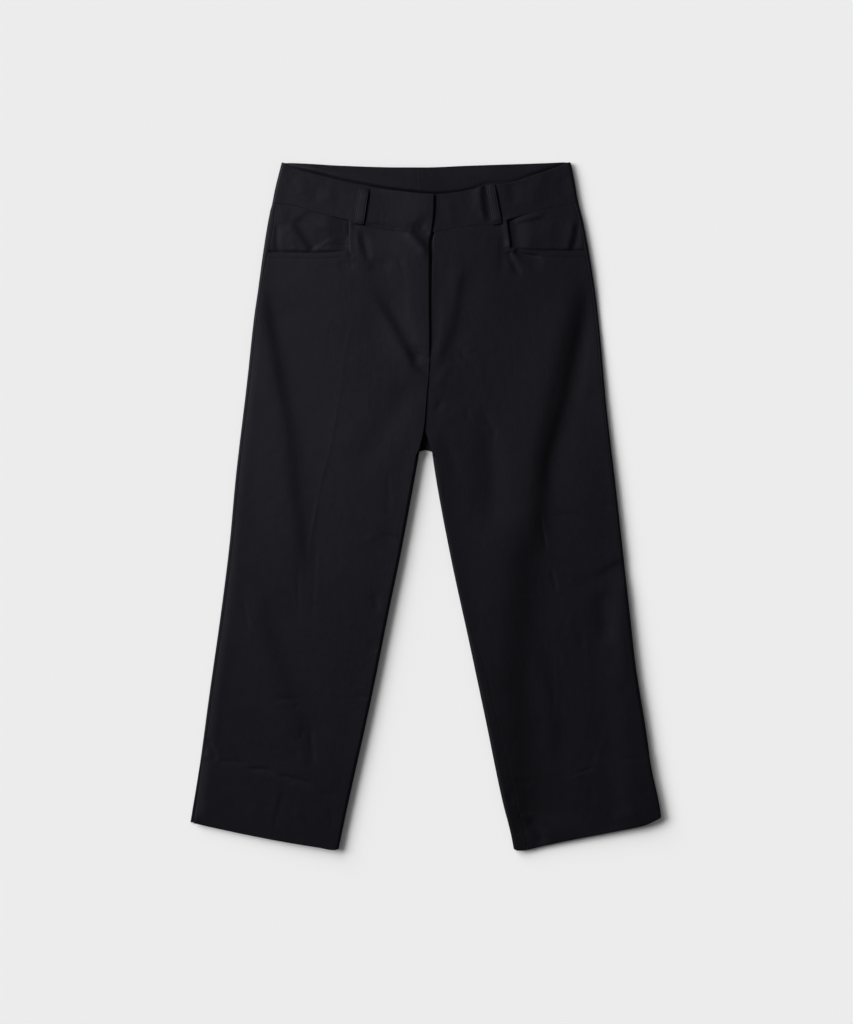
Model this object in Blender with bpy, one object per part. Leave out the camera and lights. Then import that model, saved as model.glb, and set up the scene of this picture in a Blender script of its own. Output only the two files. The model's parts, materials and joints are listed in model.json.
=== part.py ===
"""Cropped trousers laid flat: contoured waistband in two halves, L-shaped front pockets, zip fly, deep
turned hems with side vents.

+X is the wearer's left, +Y runs up to the waist, and Z is height above the surface that the trousers lie on.
"right" and "left" are the wearer's. Sizes and tables are in millimetres, and meshes are built in metres.
"""

import math

import bmesh
import bpy
import numpy as np

MM = 0.001

# Cloth and gaps
CLOTH = 1.1  # one ply of gabardine
HEM_WALL = 1.8  # panel and turned-up hem together
BAND_WALL = 2.2  # waistband with its facing and seam allowances
LOOP_WALL = 1.4
SEAM_GAP = 0.3
PLY_GAP = 0.6  # between a piece and one laid over it
LAP_DROP = CLOTH + PLY_GAP  # how far a pocket facing lies below the front over it
FACING_LAP = 9.0  # how far a pocket facing runs on under the front
FACING_DIP = 22.0  # width over which it dips under the pocket mouth

# Grids
FRONT_COLUMNS = (9, 7)  # centre front to the press crease, press crease to the side seam
FACING_ROWS = 7
BAND_BACK_COLUMNS = (3, 4)  # side roll to back belt loop, belt loop to centre back
BAND_ROWS = 4
BACK_FLAT_COLUMNS = 6
ROLL_STEPS = 7
# Rows of a leg, down to each of its guides
LEG_ROWS = dict(pocket=4, apex=9, fork=2, roll=2, vent=16, hem_line=2, hem_step=1, hem=5)
HEM_STEP = 4.0  # length over which the wall thickens into the turned hem
ACROSS = 400.0  # beyond the garment on both sides
SETTLE_STEPS = 8
SHARP_ANGLE = 40.0  # degrees

# Folded edges
ROLL_STRIP = 9.0  # width of the underside strip that an edge's roll grows out of
ROLL_WIDTH = 13.0  # reach of the rise toward a rolled edge
ROLL_TOP = 3.0  # from an outline to the top of its roll
BAND_ROLL = 8.0  # from the waistband's outline to the end of its roll
BAND_LEAD = 4.0  # from there to the band's first column in front
CURL_START = 0.8  # share of a full roll at which its flap starts to lie over the front
FORK_FADE = 12.0  # length over which the inside leg's roll opens out flat at the fork
VENT_FADE = 10.0  # length over which the side's roll opens out flat at the vent

APEX_Y = 104.7  # where the front crotch seam meets the inseams
FORK_Y = 72.3  # where the seat ends and the legs part
BACK_HEM_LIFT = 1.6  # the back hem's edge above the front's

# Height of the upper surface: (y, z)
REST_HEIGHT = [(440, 6.2), (400, 6.2), (350, 5.4), (325, 4.9), (290, 4.1), (220, 3.6), (0, 3.5), (-310, 3.5),
               (-345, 4.4), (-440, 4.3)]
EDGE_HEIGHT = [(440, 6.6), (325, 6.4), (200, 6.1), (0, 5.9), (-300, 5.7), (-440, 4.8)]
LOWEST_TOP = 2 * CLOTH + SEAM_GAP + 0.1

# Waistband: (x, y)
FRONT_TOP = [(-184.5, 440), (-161, 430.7), (-133, 423), (-96, 414), (-33, 403.2), (12, 399.2), (45, 402.5),
             (62, 406), (78, 412.2), (101, 413), (140, 424.3), (185.5, 440)]
BAND_SEAM = [(-196.5, 388), (-167, 384.5), (-140, 375.5), (-97, 365.2), (-74, 357.5), (-29, 352), (5, 350.2),
             (46, 358), (90, 361), (106, 366.5), (149, 379.5), (196.5, 388.5)]
BACK_TOP = [(-184.5, 440), (-151, 438.4), (-112, 436), (-33, 433.7), (-2, 433.7), (51, 435.8), (158, 439.5),
            (185.5, 441)]
BACK_SEAM = [(-197, 388), (-100, 385), (0, 383), (100, 386), (198, 388.5)]
CENTRE_BACK = [(434, -11.7), (408, -9.4), (384, -7.5), (200, -2.0), (72, 0.0)]  # (y, x)
UNDERLAP_END = -29.0  # how far the left half runs on under the right one
UNDERLAP_TOP = 4.8
UNDERLAP_STEP = (19.0, 9.0)  # the left half dips under the right one between these

# Belt loops: where their upper and lower ends are, (x, y)
LOOP_WIDTH = 13.0
LOOP_ARCH = 1.9
LOOP_ROWS = 8
FRONT_LOOPS = {"right": ((-78.5, 406.5), (-85.5, 360.0)), "left": ((81.5, 411.0), (91.0, 360.0))}
BACK_LOOP_X = {"right": -98.0, "left": 98.0}
BACK_LOOP_FADE = (8.0, 16.0)  # half-width of the band's lift over a back loop, and the slope beside it

# Fly
SHIELD = dict(left_x=-29.0, right_x=15.0, top_y=349.3, bottom_y=196.0, base=1.4, grid=(6, 8), corner=16.0)
CHAIN_HALF_WIDTH = 2.2
CHAIN_BASE = 2.8
CHAIN_TOP = 4.6
CHAIN_ENDS = (203.0, 335.5)
CHAIN_BEVEL = 0.4
TAPE_WALL = 0.8
TAPE_WIDTH = 11.5
TAPE_INNER = [(348.8, 3.6), (347, 4.5), (335.2, 4.5), (333, 2.5), (199.5, 2.5)]  # (y, from chain's middle)
SLIDER = dict(centre=(0.0, 341.0, 4.15), size=(7.6, 10.0, 2.7), bevel=0.9)
PULL = dict(centre=(0.0, 336.5, 6.2), size=(4.6, 15.0, 0.8), bevel=0.35)

# Hook and bar inside the waistband
HOOK_CENTRE = (-3.0, 376.0)
HOOK = dict(length=12.0, width=7.0, plate=0.4, low=5.1, high=6.8)
BAR = dict(offset=2.6, width=1.4, length=11.0, foot=1.2, low=5.1, under=5.75, high=6.15)

# Each half. Tables run (y, x) or (y, size), apart from the hems and hem lines, which run (x, y).
SIDES = {
    "right": dict(
        outer=[(440, -184.3), (405, -193), (386, -196.8), (378, -199), (328, -207.6), (277, -214.6),
               (239, -220), (162, -228.4), (34, -243.5), (-43, -250.6), (-120, -260), (-248, -278),
               (-324, -288.3), (-404, -301.2)],
        inner=[(FORK_Y, -7.7), (34, -14.5), (-68, -33.5), (-120, -44.4), (-248, -70.1), (-376, -98.4),
               (-440, -111.8)],
        front_edge=[(399, 11), (374, 10), (350, 6.2), (340, 2.8), (264, 2.1), (207, 3.6), (190, 4.6),
                    (164, 3.6), (134, 0.8), (APEX_Y, -1.5), (FORK_Y, -8.2)],
        outer_inset=[(388, 5.5), (351, 7.8), (325, 7.0), (300, 4.6), (240, 4.0), (-440, 4.0)],
        inner_inset=[(FORK_Y, 0.8), (62, 3.6), (-440, 3.8)],
        vent_inset=[(-318, 4.0), (-332, 6.9), (-404, 8.6)],
        crease=[(366, -98.4), (325, -97.7), (222, -94.5), (122, -111), (35, -131), (-57, -150),
                (-179, -167), (-440, -200)],
        pocket=[(-205, 324.9), (-140, 324.2), (-98, 326.2), (5, 328)],
        hem_line=[(-290, -325), (-190, -343), (-90, -361)],
        hem=[(-301.5, -403.8), (-262, -412.8), (-184, -428.2), (-137, -435.8), (-118, -438.8),
             (-111.5, -438)],
        centre_rise=[(440, 3.0), (400, 3.1), (375, 3.6), (350, 3.6), (325, 3.5), (300, 2.8),
                     (210, 2.8), (195, 1.7), (170, 0.5), (APEX_Y, 0.4)],
        centre_reach=(24.0, 24.0),
    ),
    "left": dict(
        outer=[(441, 184.7), (418, 189.6), (392, 194.2), (363, 201.4), (320, 209.5), (264, 218), (213, 223.4),
               (136, 230.1), (15, 244), (-72, 253.6), (-134, 260.5), (-204, 268.4), (-277, 280.1),
               (-337, 289.2), (-376, 297.7), (-397, 301.2)],
        inner=[(FORK_Y, 7.4), (34, 13.2), (-68, 32.4), (-171, 54.8), (-273, 76.4), (-376, 97.7),
               (-420, 108.7), (-440, 112.5)],
        front_edge=[(399, 14), (374, 13), (350, 9.8), (340, 11.1), (264, 9.8), (207, 7.2), (190, 4.9),
                    (164, 3.9), (134, 1.1), (APEX_Y, -1.2), (FORK_Y, 7.9)],
        outer_inset=[(388, 5.5), (340, 4.6), (325, 5.2), (300, 4.6), (275, 4.0), (-440, 4.0)],
        inner_inset=[(FORK_Y, 0.8), (62, 3.6), (-120, 3.8), (-148, 5.2), (-210, 12.5), (-273, 14.5),
                     (-347, 17.5), (-440, 18.0)],
        vent_inset=[(-312, 4.0), (-326, 5.6), (-404, 6.6)],
        crease=[(370, 103.2), (332, 108.4), (250, 118), (12, 143.6), (-57, 155), (-108, 161), (-247, 167),
                (-440, 187)],
        pocket=[(-2, 331), (100, 331.2), (109, 331), (131, 327.3), (156, 326.5), (206, 326.5)],
        hem_line=[(90, -361), (180, -346), (292, -318)],
        hem=[(112, -438.6), (117.5, -440.4), (154, -433), (197, -424.1), (242, -415.4), (278.6, -407.7),
             (292, -402), (301.5, -396.8)],
        centre_rise=[(440, 0.8), (350, 1.3), (300, 1.2), (210, 1.8), (195, 1.2), (170, 0.5), (APEX_Y, 0.4)],
        centre_reach=(8.0, 24.0),
    ),
}

# Largest folds: path (x, y), reach on the path's left and right hand, and height at its middle
FOLD_TAPER = 0.08  # share of a half wave left off at each end, so that a fold's ends keep a little height
FOLDS = {
    "right": [
        dict(name="outer trough", path=[(-198, 250), (-184, 155), (-166, 76), (-153, -16), (-155, -84),
                                        (-168, -204), (-150, -290)], reach=(16, 16), height=-0.9),
        dict(name="thigh ridge", path=[(-27, 172), (-49, 123), (-101, 89), (-133, 31)], reach=(16, 30),
             height=1.2),
        dict(name="fly trough", path=[(-69, 269), (-22, 202), (-10, 185)], reach=(10, 12), height=-1.0),
        dict(name="knee swell", path=[(-190, 20), (-185, -120), (-200, -250)], reach=(20, 20), height=0.9),
    ],
    "left": [
        dict(name="side fold", path=[(186, 280), (178, 212), (166, 155), (154, 111), (143, 65), (140, 0),
                                     (124, -60), (119, -140), (109, -220), (101, -305)],
             reach=(11, 36), height=2.3),
        dict(name="inner trough", path=[(62, 150), (57, 99), (72, 53), (77, 24), (52, -38)],
             reach=(14, 14), height=-0.9),
        dict(name="kink", path=[(212, -92), (233, -81), (252, -71)], reach=(9, 9), height=-1.2),
        dict(name="shin swell", path=[(205, -120), (215, -200), (222, -290)], reach=(24, 24), height=0.9),
    ],
}

# Linear colour, roughness and metallic value
GABARDINE = ((0.0125, 0.0125, 0.0148), 0.78, 0.0)
TAPE = ((0.006, 0.006, 0.007), 0.85, 0.0)
DARK_METAL = ((0.035, 0.035, 0.037), 0.38, 0.9)


def smooth(table, at):
    """Second column of a table at places in its first, on a curve through its rows that never overshoots."""
    knots, values = np.array(sorted(table), float).T
    spans = np.diff(knots)
    slopes = np.diff(values) / spans
    bends = slopes[:-1] * slopes[1:]
    tangents = np.zeros(len(knots))
    tangents[0] = slopes[0]
    tangents[-1] = slopes[-1]
    turning = bends > 0
    tangents[1:-1][turning] = 2 * bends[turning] / (slopes[:-1] + slopes[1:])[turning]
    at = np.clip(np.asarray(at, float), knots[0], knots[-1])
    left = np.clip(np.searchsorted(knots, at) - 1, 0, len(spans) - 1)
    share = (at - knots[left]) / spans[left]
    rise = values[left + 1] - values[left]
    lead = share * (1 - share) ** 2 * tangents[left] - share**2 * (1 - share) * tangents[left + 1]
    return values[left] + share**2 * (3 - 2 * share) * rise + spans[left] * lead


def ease(share):
    """0 below 0, 1 above 1, and a soft step between."""
    share = np.clip(share, 0.0, 1.0)
    return share**2 * (3 - 2 * share)


def inward(side):
    """+1 where the middle of the garment is toward +X of the side, and -1 where it is toward -X."""
    return 1 if side == "right" else -1


def fold_lift(x, y, path, reach, height):
    """Height that one fold adds: a soft ridge or trough along its path, fading toward both ends."""
    points = np.array(path, float)
    steps = np.diff(points, axis=0)
    lengths = np.hypot(*steps.T)
    starts = np.concatenate([[0.0], np.cumsum(lengths)])
    nearest = np.full(np.shape(x), np.inf)
    hand = np.zeros(np.shape(x))
    along = np.zeros(np.shape(x))
    for start, step, length, run in zip(points, steps, lengths, starts):
        dx = x - start[0]
        dy = y - start[1]
        share = np.clip((dx * step[0] + dy * step[1]) / length**2, 0.0, 1.0)
        gap = np.hypot(dx - share * step[0], dy - share * step[1])
        closer = gap < nearest
        nearest = np.where(closer, gap, nearest)
        hand = np.where(closer, step[0] * dy - step[1] * dx, hand)
        along = np.where(closer, (run + share * length) / starts[-1], along)
    width = np.where(hand > 0, reach[0], reach[1])
    fade = np.sin(math.pi * (FOLD_TAPER + (1 - 2 * FOLD_TAPER) * along))
    return height * fade * np.exp(-((nearest / width) ** 2))


def top_height(side, x, y):
    """Height of the laid garment's upper surface."""
    shape = SIDES[side]
    x = np.asarray(x, float)
    y = np.asarray(y, float)
    rest = smooth(REST_HEIGHT, y)
    from_outer = np.abs(x - smooth(shape["outer"], y))
    from_inner = np.abs(x - smooth(shape["inner"], y))
    from_centre = np.abs(x - smooth(shape["front_edge"], y))
    in_leg = ease((APEX_Y - y) / (APEX_Y - FORK_Y))
    near_edge = np.exp(-((from_outer / ROLL_WIDTH) ** 2)) + in_leg * np.exp(-((from_inner / ROLL_WIDTH) ** 2))
    flat, fade = shape["centre_reach"]
    near_centre = (1 - in_leg) * (1 - ease((from_centre - flat) / fade))
    height = rest + (smooth(EDGE_HEIGHT, y) - rest) * np.minimum(near_edge, 1.0)
    height += smooth(shape["centre_rise"], y) * near_centre
    for fold in FOLDS[side]:
        height += fold_lift(x, y, fold["path"], fold["reach"], fold["height"])
    return np.maximum(height, LOWEST_TOP)


def blend(upper, lower, share):
    """A row's y at an x, part of the way from one guide to the next."""
    return lambda x: (1 - share) * smooth(upper, x) + share * smooth(lower, x)


def guide_rows(guides):
    """Functions that give y at an x for each row. A guide is a table (x, y) and the rows down to it."""
    rows = []
    for (upper, _), (lower, count) in zip(guides, guides[1:]):
        rows += [blend(upper, lower, step / count) for step in range(count)]
    rows.append(blend(lower, lower, 1.0))
    return rows


def lay_rows(guides, columns_at):
    """Grid of (x, y) where the rows of the guides meet the columns, whose x columns_at gives for a y."""
    grid = []
    for row_y in guide_rows(guides):
        x = columns_at(row_y(np.zeros(1)))
        for _ in range(SETTLE_STEPS):
            y = row_y(x)
            x = columns_at(y)
        grid.append(np.stack([x, y], axis=-1))
    return np.array(grid)


def settle(edge_x, row_y):
    """Where a row meets an edge: edge_x gives x at a y, and row_y gives y at an x."""
    y = float(row_y(0.0))
    for _ in range(SETTLE_STEPS):
        x = float(edge_x(y))
        y = float(row_y(x))
    return x, y


def side_seam(side, y):
    """Where the side seam lies, a little inside the folded outer edge."""
    shape = SIDES[side]
    return smooth(shape["outer"], y) + inward(side) * smooth(shape["outer_inset"], y)


def leg_seam(side, y):
    """Where the inside leg seam lies, inside the folded inner edge."""
    shape = SIDES[side]
    return smooth(shape["inner"], y) - inward(side) * smooth(shape["inner_inset"], y)


def level(y):
    """A guide straight across the garment."""
    return [(-ACROSS, y), (ACROSS, y)]


def lifted(table, rise):
    """A table (x, y) moved along Y."""
    return [(x, y + rise) for x, y in table]


def wall_solid(name, outer, inner, finish, keep=None):
    """Closed cloth wall between two grids of points, less the cells that keep leaves out."""
    rows, columns = outer.shape[:2]
    if keep is None:
        keep = np.ones((rows - 1, columns - 1), bool)
    mesh = bmesh.new()
    made = {}

    def corner(sheet, row, column):
        key = (sheet, row, column)
        if key not in made:
            made[key] = mesh.verts.new((outer, inner)[sheet][row, column] * MM)
        return made[key]

    def kept(row, column):
        return 0 <= row < rows - 1 and 0 <= column < columns - 1 and keep[row, column]

    for row in range(rows - 1):
        for column in range(columns - 1):
            if not keep[row, column]:
                continue
            ring = [(row, column), (row, column + 1), (row + 1, column + 1), (row + 1, column)]
            mesh.faces.new([corner(0, *place) for place in ring])
            mesh.faces.new([corner(1, *place) for place in reversed(ring)])
            beside = [(row - 1, column), (row, column + 1), (row + 1, column), (row, column - 1)]
            for edge, neighbour in enumerate(beside):
                if not kept(*neighbour):
                    a, b = ring[edge], ring[(edge + 1) % 4]
                    mesh.faces.new([corner(0, *b), corner(0, *a), corner(1, *a), corner(1, *b)])
    return finish_solid(name, mesh, finish)


def finish_solid(name, mesh, finish):
    """Object from a bmesh, faces out, smooth shaded, with its own material."""
    bmesh.ops.recalc_face_normals(mesh, faces=mesh.faces)
    data = bpy.data.meshes.new(name)
    mesh.to_mesh(data)
    mesh.free()
    data.shade_smooth()
    data.set_sharp_from_angle(angle=math.radians(SHARP_ANGLE))
    solid = bpy.data.objects.new(name, data)
    bpy.context.scene.collection.objects.link(solid)
    colour, roughness, metallic = finish
    material = bpy.data.materials.new(f"{name}_finish")
    material.use_nodes = True
    shader = material.node_tree.nodes["Principled BSDF"]
    shader.inputs["Base Color"].default_value = (*colour, 1.0)
    shader.inputs["Roughness"].default_value = roughness
    shader.inputs["Metallic"].default_value = metallic
    data.materials.append(material)
    return solid


def with_height(grid, height):
    """Grid of (x, y) with a height at each point."""
    return np.dstack([grid, np.broadcast_to(height, grid.shape[:2])])


def leg_guides(side, first, hem_lift):
    """Guides down a leg, with the rows between them."""
    shape = SIDES[side]
    hem_line = shape["hem_line"]
    lines = dict(pocket=shape["pocket"], apex=level(APEX_Y), fork=level(FORK_Y),
                 roll=level(FORK_Y - FORK_FADE), vent=lifted(hem_line, VENT_FADE), hem_line=hem_line,
                 hem_step=lifted(hem_line, -HEM_STEP), hem=lifted(shape["hem"], hem_lift))
    return [(first, 0)] + [(line, LEG_ROWS[name]) for name, line in lines.items()]


def hem_walls(rows):
    """Wall of each row of a leg, which is thicker in the turned hem."""
    wall = np.full(rows, CLOTH)
    wall[-LEG_ROWS["hem"] - 1:] = HEM_WALL
    return wall[:, None]


def front_grid(side):
    """Rows and columns of one front, from the band seam to the hem."""
    shape = SIDES[side]
    toward_middle = inward(side)
    to_crease = np.linspace(0, 1, FRONT_COLUMNS[0] + 1)
    to_seam = np.linspace(0, 1, FRONT_COLUMNS[1] + 1)[1:]

    def columns_at(y):
        y = np.broadcast_to(y, len(to_crease) + len(to_seam))
        inner = np.where(y > FORK_Y, smooth(shape["front_edge"], y), leg_seam(side, y))
        inner = inner - toward_middle * SEAM_GAP / 2
        crease = smooth(shape["crease"], y)
        vent = smooth(shape["outer"], y) + toward_middle * smooth(shape["vent_inset"], y)
        outer = np.where(y < shape["vent_inset"][0][0], vent, side_seam(side, y))
        outer = outer + toward_middle * SEAM_GAP / 2
        near = inner[: len(to_crease)] + to_crease * (crease - inner)[: len(to_crease)]
        far = crease[len(to_crease):] + to_seam * (outer - crease)[len(to_crease):]
        return np.concatenate([near, far])

    return lay_rows(leg_guides(side, lifted(BAND_SEAM, -SEAM_GAP / 2), 0.0), columns_at)


def front_panel(side):
    """Front of one leg, with the L-shaped pocket mouth cut out of its upper outer corner."""
    grid = front_grid(side)
    top = with_height(grid, top_height(side, grid[..., 0], grid[..., 1]))
    under = with_height(grid, top[..., 2] - hem_walls(len(grid)))
    keep = np.ones((grid.shape[0] - 1, grid.shape[1] - 1), bool)
    keep[:LEG_ROWS["pocket"], FRONT_COLUMNS[0]:] = False
    return wall_solid(f"front_{side}", top, under, GABARDINE, keep)


def pocket_facing(side):
    """Hip piece behind a pocket mouth: flush with the band and side seam, and lapped under the front."""
    shape = SIDES[side]
    toward_middle = inward(side)
    share = np.linspace(0, 1, FRONT_COLUMNS[1] + 1)

    def columns_at(y):
        y = np.broadcast_to(y, len(share) + 1)
        crease = smooth(shape["crease"], y)
        outer = side_seam(side, y) + toward_middle * SEAM_GAP / 2
        lapped = crease[:1] + toward_middle * FACING_LAP
        return np.concatenate([lapped, crease[1:] + share * (outer - crease)[1:]])

    guides = [(lifted(BAND_SEAM, -SEAM_GAP / 2), 0), (lifted(shape["pocket"], -FACING_LAP), FACING_ROWS)]
    grid = lay_rows(guides, columns_at)
    grid[0, 0, 1] -= PLY_GAP
    x = grid[..., 0]
    y = grid[..., 1]
    over_mouth = y - smooth(shape["pocket"], x)
    beside_mouth = toward_middle * (smooth(shape["crease"], y) - x)
    inside = np.minimum(over_mouth, beside_mouth) / FACING_DIP
    top = with_height(grid, top_height(side, x, y) - LAP_DROP * (1 - ease(inside)))
    top[:, 0, 2] -= SEAM_GAP
    return wall_solid(f"pocket_facing_{side}", top, top - np.array([0, 0, CLOTH]), GABARDINE)


def rolled_edge(side, edge_x, seam_x, under_y, over_y, wall, curl):
    """Outer and inner points of an edge that rolls up from the ground and over to a seam on top.

    edge_x is the outline and seam_x the seam, curl is the share of the full roll, and under_y and over_y give
    y for an x on the underside and on top.
    """
    toward = 1 if seam_x > edge_x else -1
    top_x = edge_x + toward * ROLL_TOP
    radius = float(top_height(side, top_x, over_y(top_x))) / 2
    turn = math.pi * curl
    flap = max(abs(seam_x - edge_x) - radius, 0.1) * float(ease((curl - CURL_START) / (1 - CURL_START)))
    straight = ROLL_STRIP - radius * math.sin(min(turn, math.pi / 2))
    length = straight + radius * turn + flap
    outer = []
    inner = []
    for step in range(ROLL_STEPS + 1):
        run = length * step / ROLL_STEPS
        angle = min(max(run - straight, 0.0) / radius, turn)
        on_top = max(run - straight - radius * turn, 0.0)
        x = edge_x + toward * (ROLL_STRIP - min(run, straight) - radius * math.sin(angle) + on_top)
        share = step / ROLL_STEPS
        y = (1 - share) * float(under_y(x)) + share * float(over_y(x))
        z = radius * (1 - math.cos(angle))
        if on_top > 0:
            z = float(top_height(side, x, y))
        outer.append((x, y, z))
        inner.append((x + toward * wall * math.sin(angle), y, z + wall * math.cos(angle)))
    return np.array(outer), np.array(inner)


def back_panel(side):
    """Back of one leg: flat on the ground, rolled up round the side and inside leg to the seams on top."""
    shape = SIDES[side]
    half_gap = inward(side) * SEAM_GAP / 2
    under_rows = guide_rows(leg_guides(side, lifted(BACK_SEAM, -SEAM_GAP / 2), BACK_HEM_LIFT))
    over_rows = guide_rows(leg_guides(side, lifted(BAND_SEAM, -SEAM_GAP / 2), 0.0))
    walls = hem_walls(len(under_rows))[:, 0]
    outer_rows = []
    inner_rows = []
    for under_y, over_y, wall in zip(under_rows, over_rows, walls):
        side_x, side_y = settle(lambda y: smooth(shape["outer"], y), over_y)
        side_end, _ = settle(lambda y: side_seam(side, y) - half_gap, over_y)
        side_curl = float(ease((side_y - smooth(shape["hem_line"], side_x)) / VENT_FADE))
        leg_x, leg_y = settle(lambda y: smooth(shape["inner"], y), over_y)
        leg_end, _ = settle(lambda y: leg_seam(side, y) + half_gap, over_y)
        leg_curl = float(ease((FORK_Y - leg_y) / FORK_FADE))
        if leg_curl == 0:
            leg_x, _ = settle(lambda y: smooth(CENTRE_BACK, y) - half_gap, under_y)
            leg_end = leg_x - inward(side)  # only its side counts, because the edge lies flat
        side_outer, side_inner = rolled_edge(side, side_x, side_end, under_y, over_y, wall, side_curl)
        leg_outer, leg_inner = rolled_edge(side, leg_x, leg_end, under_y, over_y, wall, leg_curl)
        flat_x = np.linspace(leg_outer[0, 0], side_outer[0, 0], BACK_FLAT_COLUMNS + 1)[1:-1]
        flat = np.stack([flat_x, under_y(flat_x), np.zeros_like(flat_x)], axis=-1)
        outer_rows.append(np.concatenate([leg_outer[::-1], flat, side_outer]))
        inner_rows.append(np.concatenate([leg_inner[::-1], flat + np.array([0, 0, wall]), side_inner]))
    return wall_solid(f"back_{side}", np.array(outer_rows), np.array(inner_rows), GABARDINE)


def band_lift(x):
    """Height of the back band's underside, which rises over the belt loops under it."""
    half, slope = BACK_LOOP_FADE
    near = [1 - ease((np.abs(x - loop_x) - half) / slope) for loop_x in BACK_LOOP_X.values()]
    return (LOOP_WALL + SEAM_GAP) * np.maximum(*near)


def back_columns(side, start_x, centre_x):
    """Where the back band's columns stand, with one at each bend of its lift over the belt loop."""
    to_loop, to_centre = BAND_BACK_COLUMNS
    across = inward(side) * np.array(BACK_LOOP_FADE)
    flat_from, slope_from = BACK_LOOP_X[side] - across, BACK_LOOP_X[side] - across.sum()
    flat_to, slope_to = BACK_LOOP_X[side] + across, BACK_LOOP_X[side] + across.sum()
    return np.concatenate([np.linspace(start_x, slope_from, to_loop + 1)[1:], [flat_from[0], flat_to[0]],
                           np.linspace(slope_to, centre_x, to_centre + 1)])


def waistband(side):
    """Half of the waistband, from centre front over the side fold and under to centre back."""
    shape = SIDES[side]
    toward_middle = inward(side)
    up = np.array([0, 0, BAND_WALL])
    below = front_grid(side)[0, :-1, 0][::-1]
    outer_rows = []
    inner_rows = []
    for row in range(BAND_ROWS + 1):
        share = row / BAND_ROWS

        def front_y(x):
            seam = lifted(BAND_SEAM, SEAM_GAP / 2)
            return (1 - share) * smooth(FRONT_TOP, x) + share * smooth(seam, x)

        def back_y(x):
            seam = lifted(BACK_SEAM, SEAM_GAP / 2)
            return (1 - share) * smooth(BACK_TOP, x) + share * smooth(seam, x)

        side_x, _ = settle(lambda y: smooth(shape["outer"], y), front_y)
        roll_end = side_x + toward_middle * BAND_ROLL
        roll_outer, roll_inner = rolled_edge(side, side_x, roll_end, back_y, front_y, BAND_WALL, 1.0)
        end_x, _ = settle(lambda y: smooth(shape["front_edge"], y), front_y)
        along = (below - below[0]) / (below[-1] - below[0])
        first_x = roll_end + toward_middle * BAND_LEAD
        front_x = first_x + along * (end_x - first_x)
        if share == 1:
            front_x = below
        if side == "left":
            front_x = np.concatenate([front_x[:-1], [*UNDERLAP_STEP, UNDERLAP_END]])
        front_z = top_height(side, front_x, front_y(front_x))
        if side == "left":
            high, low = UNDERLAP_STEP
            climb = ease((front_x - low) / (high - low))
            front_z = UNDERLAP_TOP + climb * (front_z - UNDERLAP_TOP)
        front = np.stack([front_x, front_y(front_x), front_z], axis=-1)
        centre_x, _ = settle(lambda y: smooth(CENTRE_BACK, y) - toward_middle * SEAM_GAP / 2, back_y)
        back_x = back_columns(side, roll_outer[0, 0], centre_x)
        back = np.stack([back_x, back_y(back_x), band_lift(back_x)], axis=-1)
        outer_rows.append(np.concatenate([back[::-1], roll_outer, front]))
        inner_rows.append(np.concatenate([back[::-1] + up, roll_inner, front - up]))
    return wall_solid(f"waistband_{side}", np.array(outer_rows), np.array(inner_rows), GABARDINE)


def strip(upper, lower, width, rows):
    """Grid of (x, y) for a straight strip between two points, three columns wide."""
    ends = np.linspace(upper, lower, rows + 1)
    run = np.array(lower, float) - np.array(upper, float)
    across = np.array([-run[1], run[0]]) / np.hypot(*run) * width / 2
    return np.stack([ends - across, ends, ends + across], axis=1)


def front_belt_loop(side):
    """Loop over the front band, sewn down at its ends and standing off between them."""
    upper, lower = FRONT_LOOPS[side]
    grid = strip(upper, lower, LOOP_WIDTH, LOOP_ROWS)
    arch = LOOP_ARCH * np.sin(np.linspace(0, math.pi, LOOP_ROWS + 1))[:, None] ** 0.5
    base = with_height(grid, top_height(side, grid[..., 0], grid[..., 1]) + PLY_GAP + arch)
    return wall_solid(f"belt_loop_front_{side}", base + np.array([0, 0, LOOP_WALL]), base, GABARDINE)


def back_belt_loop(side):
    """Loop under the back band, flat on the ground."""
    x = BACK_LOOP_X[side]
    lower_y = float(smooth(BACK_SEAM, x)) + SEAM_GAP + PLY_GAP
    grid = strip((x, float(smooth(BACK_TOP, x))), (x, lower_y), LOOP_WIDTH, 2)
    top = with_height(grid, LOOP_WALL)
    return wall_solid(f"belt_loop_back_{side}", top, with_height(grid, 0.0), GABARDINE)


def fly_shield():
    """Ply behind the zip, with a rounded lower outer corner."""
    rows, columns = SHIELD["grid"]
    share = np.linspace(0, 1, columns + 1)
    x = SHIELD["left_x"] + share * (SHIELD["right_x"] - SHIELD["left_x"])
    cut = np.clip(1 - (x - SHIELD["left_x"]) / SHIELD["corner"], 0, 1)
    bottom = SHIELD["bottom_y"] + SHIELD["corner"] * (1 - np.sqrt(1 - cut**2))
    top = np.minimum(SHIELD["top_y"], smooth(BAND_SEAM, x) - SEAM_GAP)
    down = np.linspace(0, 1, rows + 1)[:, None]
    grid = np.dstack([np.broadcast_to(x, (rows + 1, columns + 1)), top + down * (bottom - top)])
    under = with_height(grid, SHIELD["base"])
    return wall_solid("fly_shield", under + np.array([0, 0, CLOTH]), under, GABARDINE)


def zip_tape(side):
    """Tape beside the zip's chain."""
    toward_side = -inward(side)
    y, inner = np.array(TAPE_INNER).T
    near = toward_side * inner
    far = np.full_like(near, toward_side * (CHAIN_HALF_WIDTH + TAPE_WIDTH))
    across = np.stack([near, (near + far) / 2, far], axis=1)
    under = with_height(np.stack([across, np.repeat(y[:, None], 3, axis=1)], axis=-1), CHAIN_BASE)
    return wall_solid(f"zip_tape_{side}", under + np.array([0, 0, TAPE_WALL]), under, TAPE)


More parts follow.
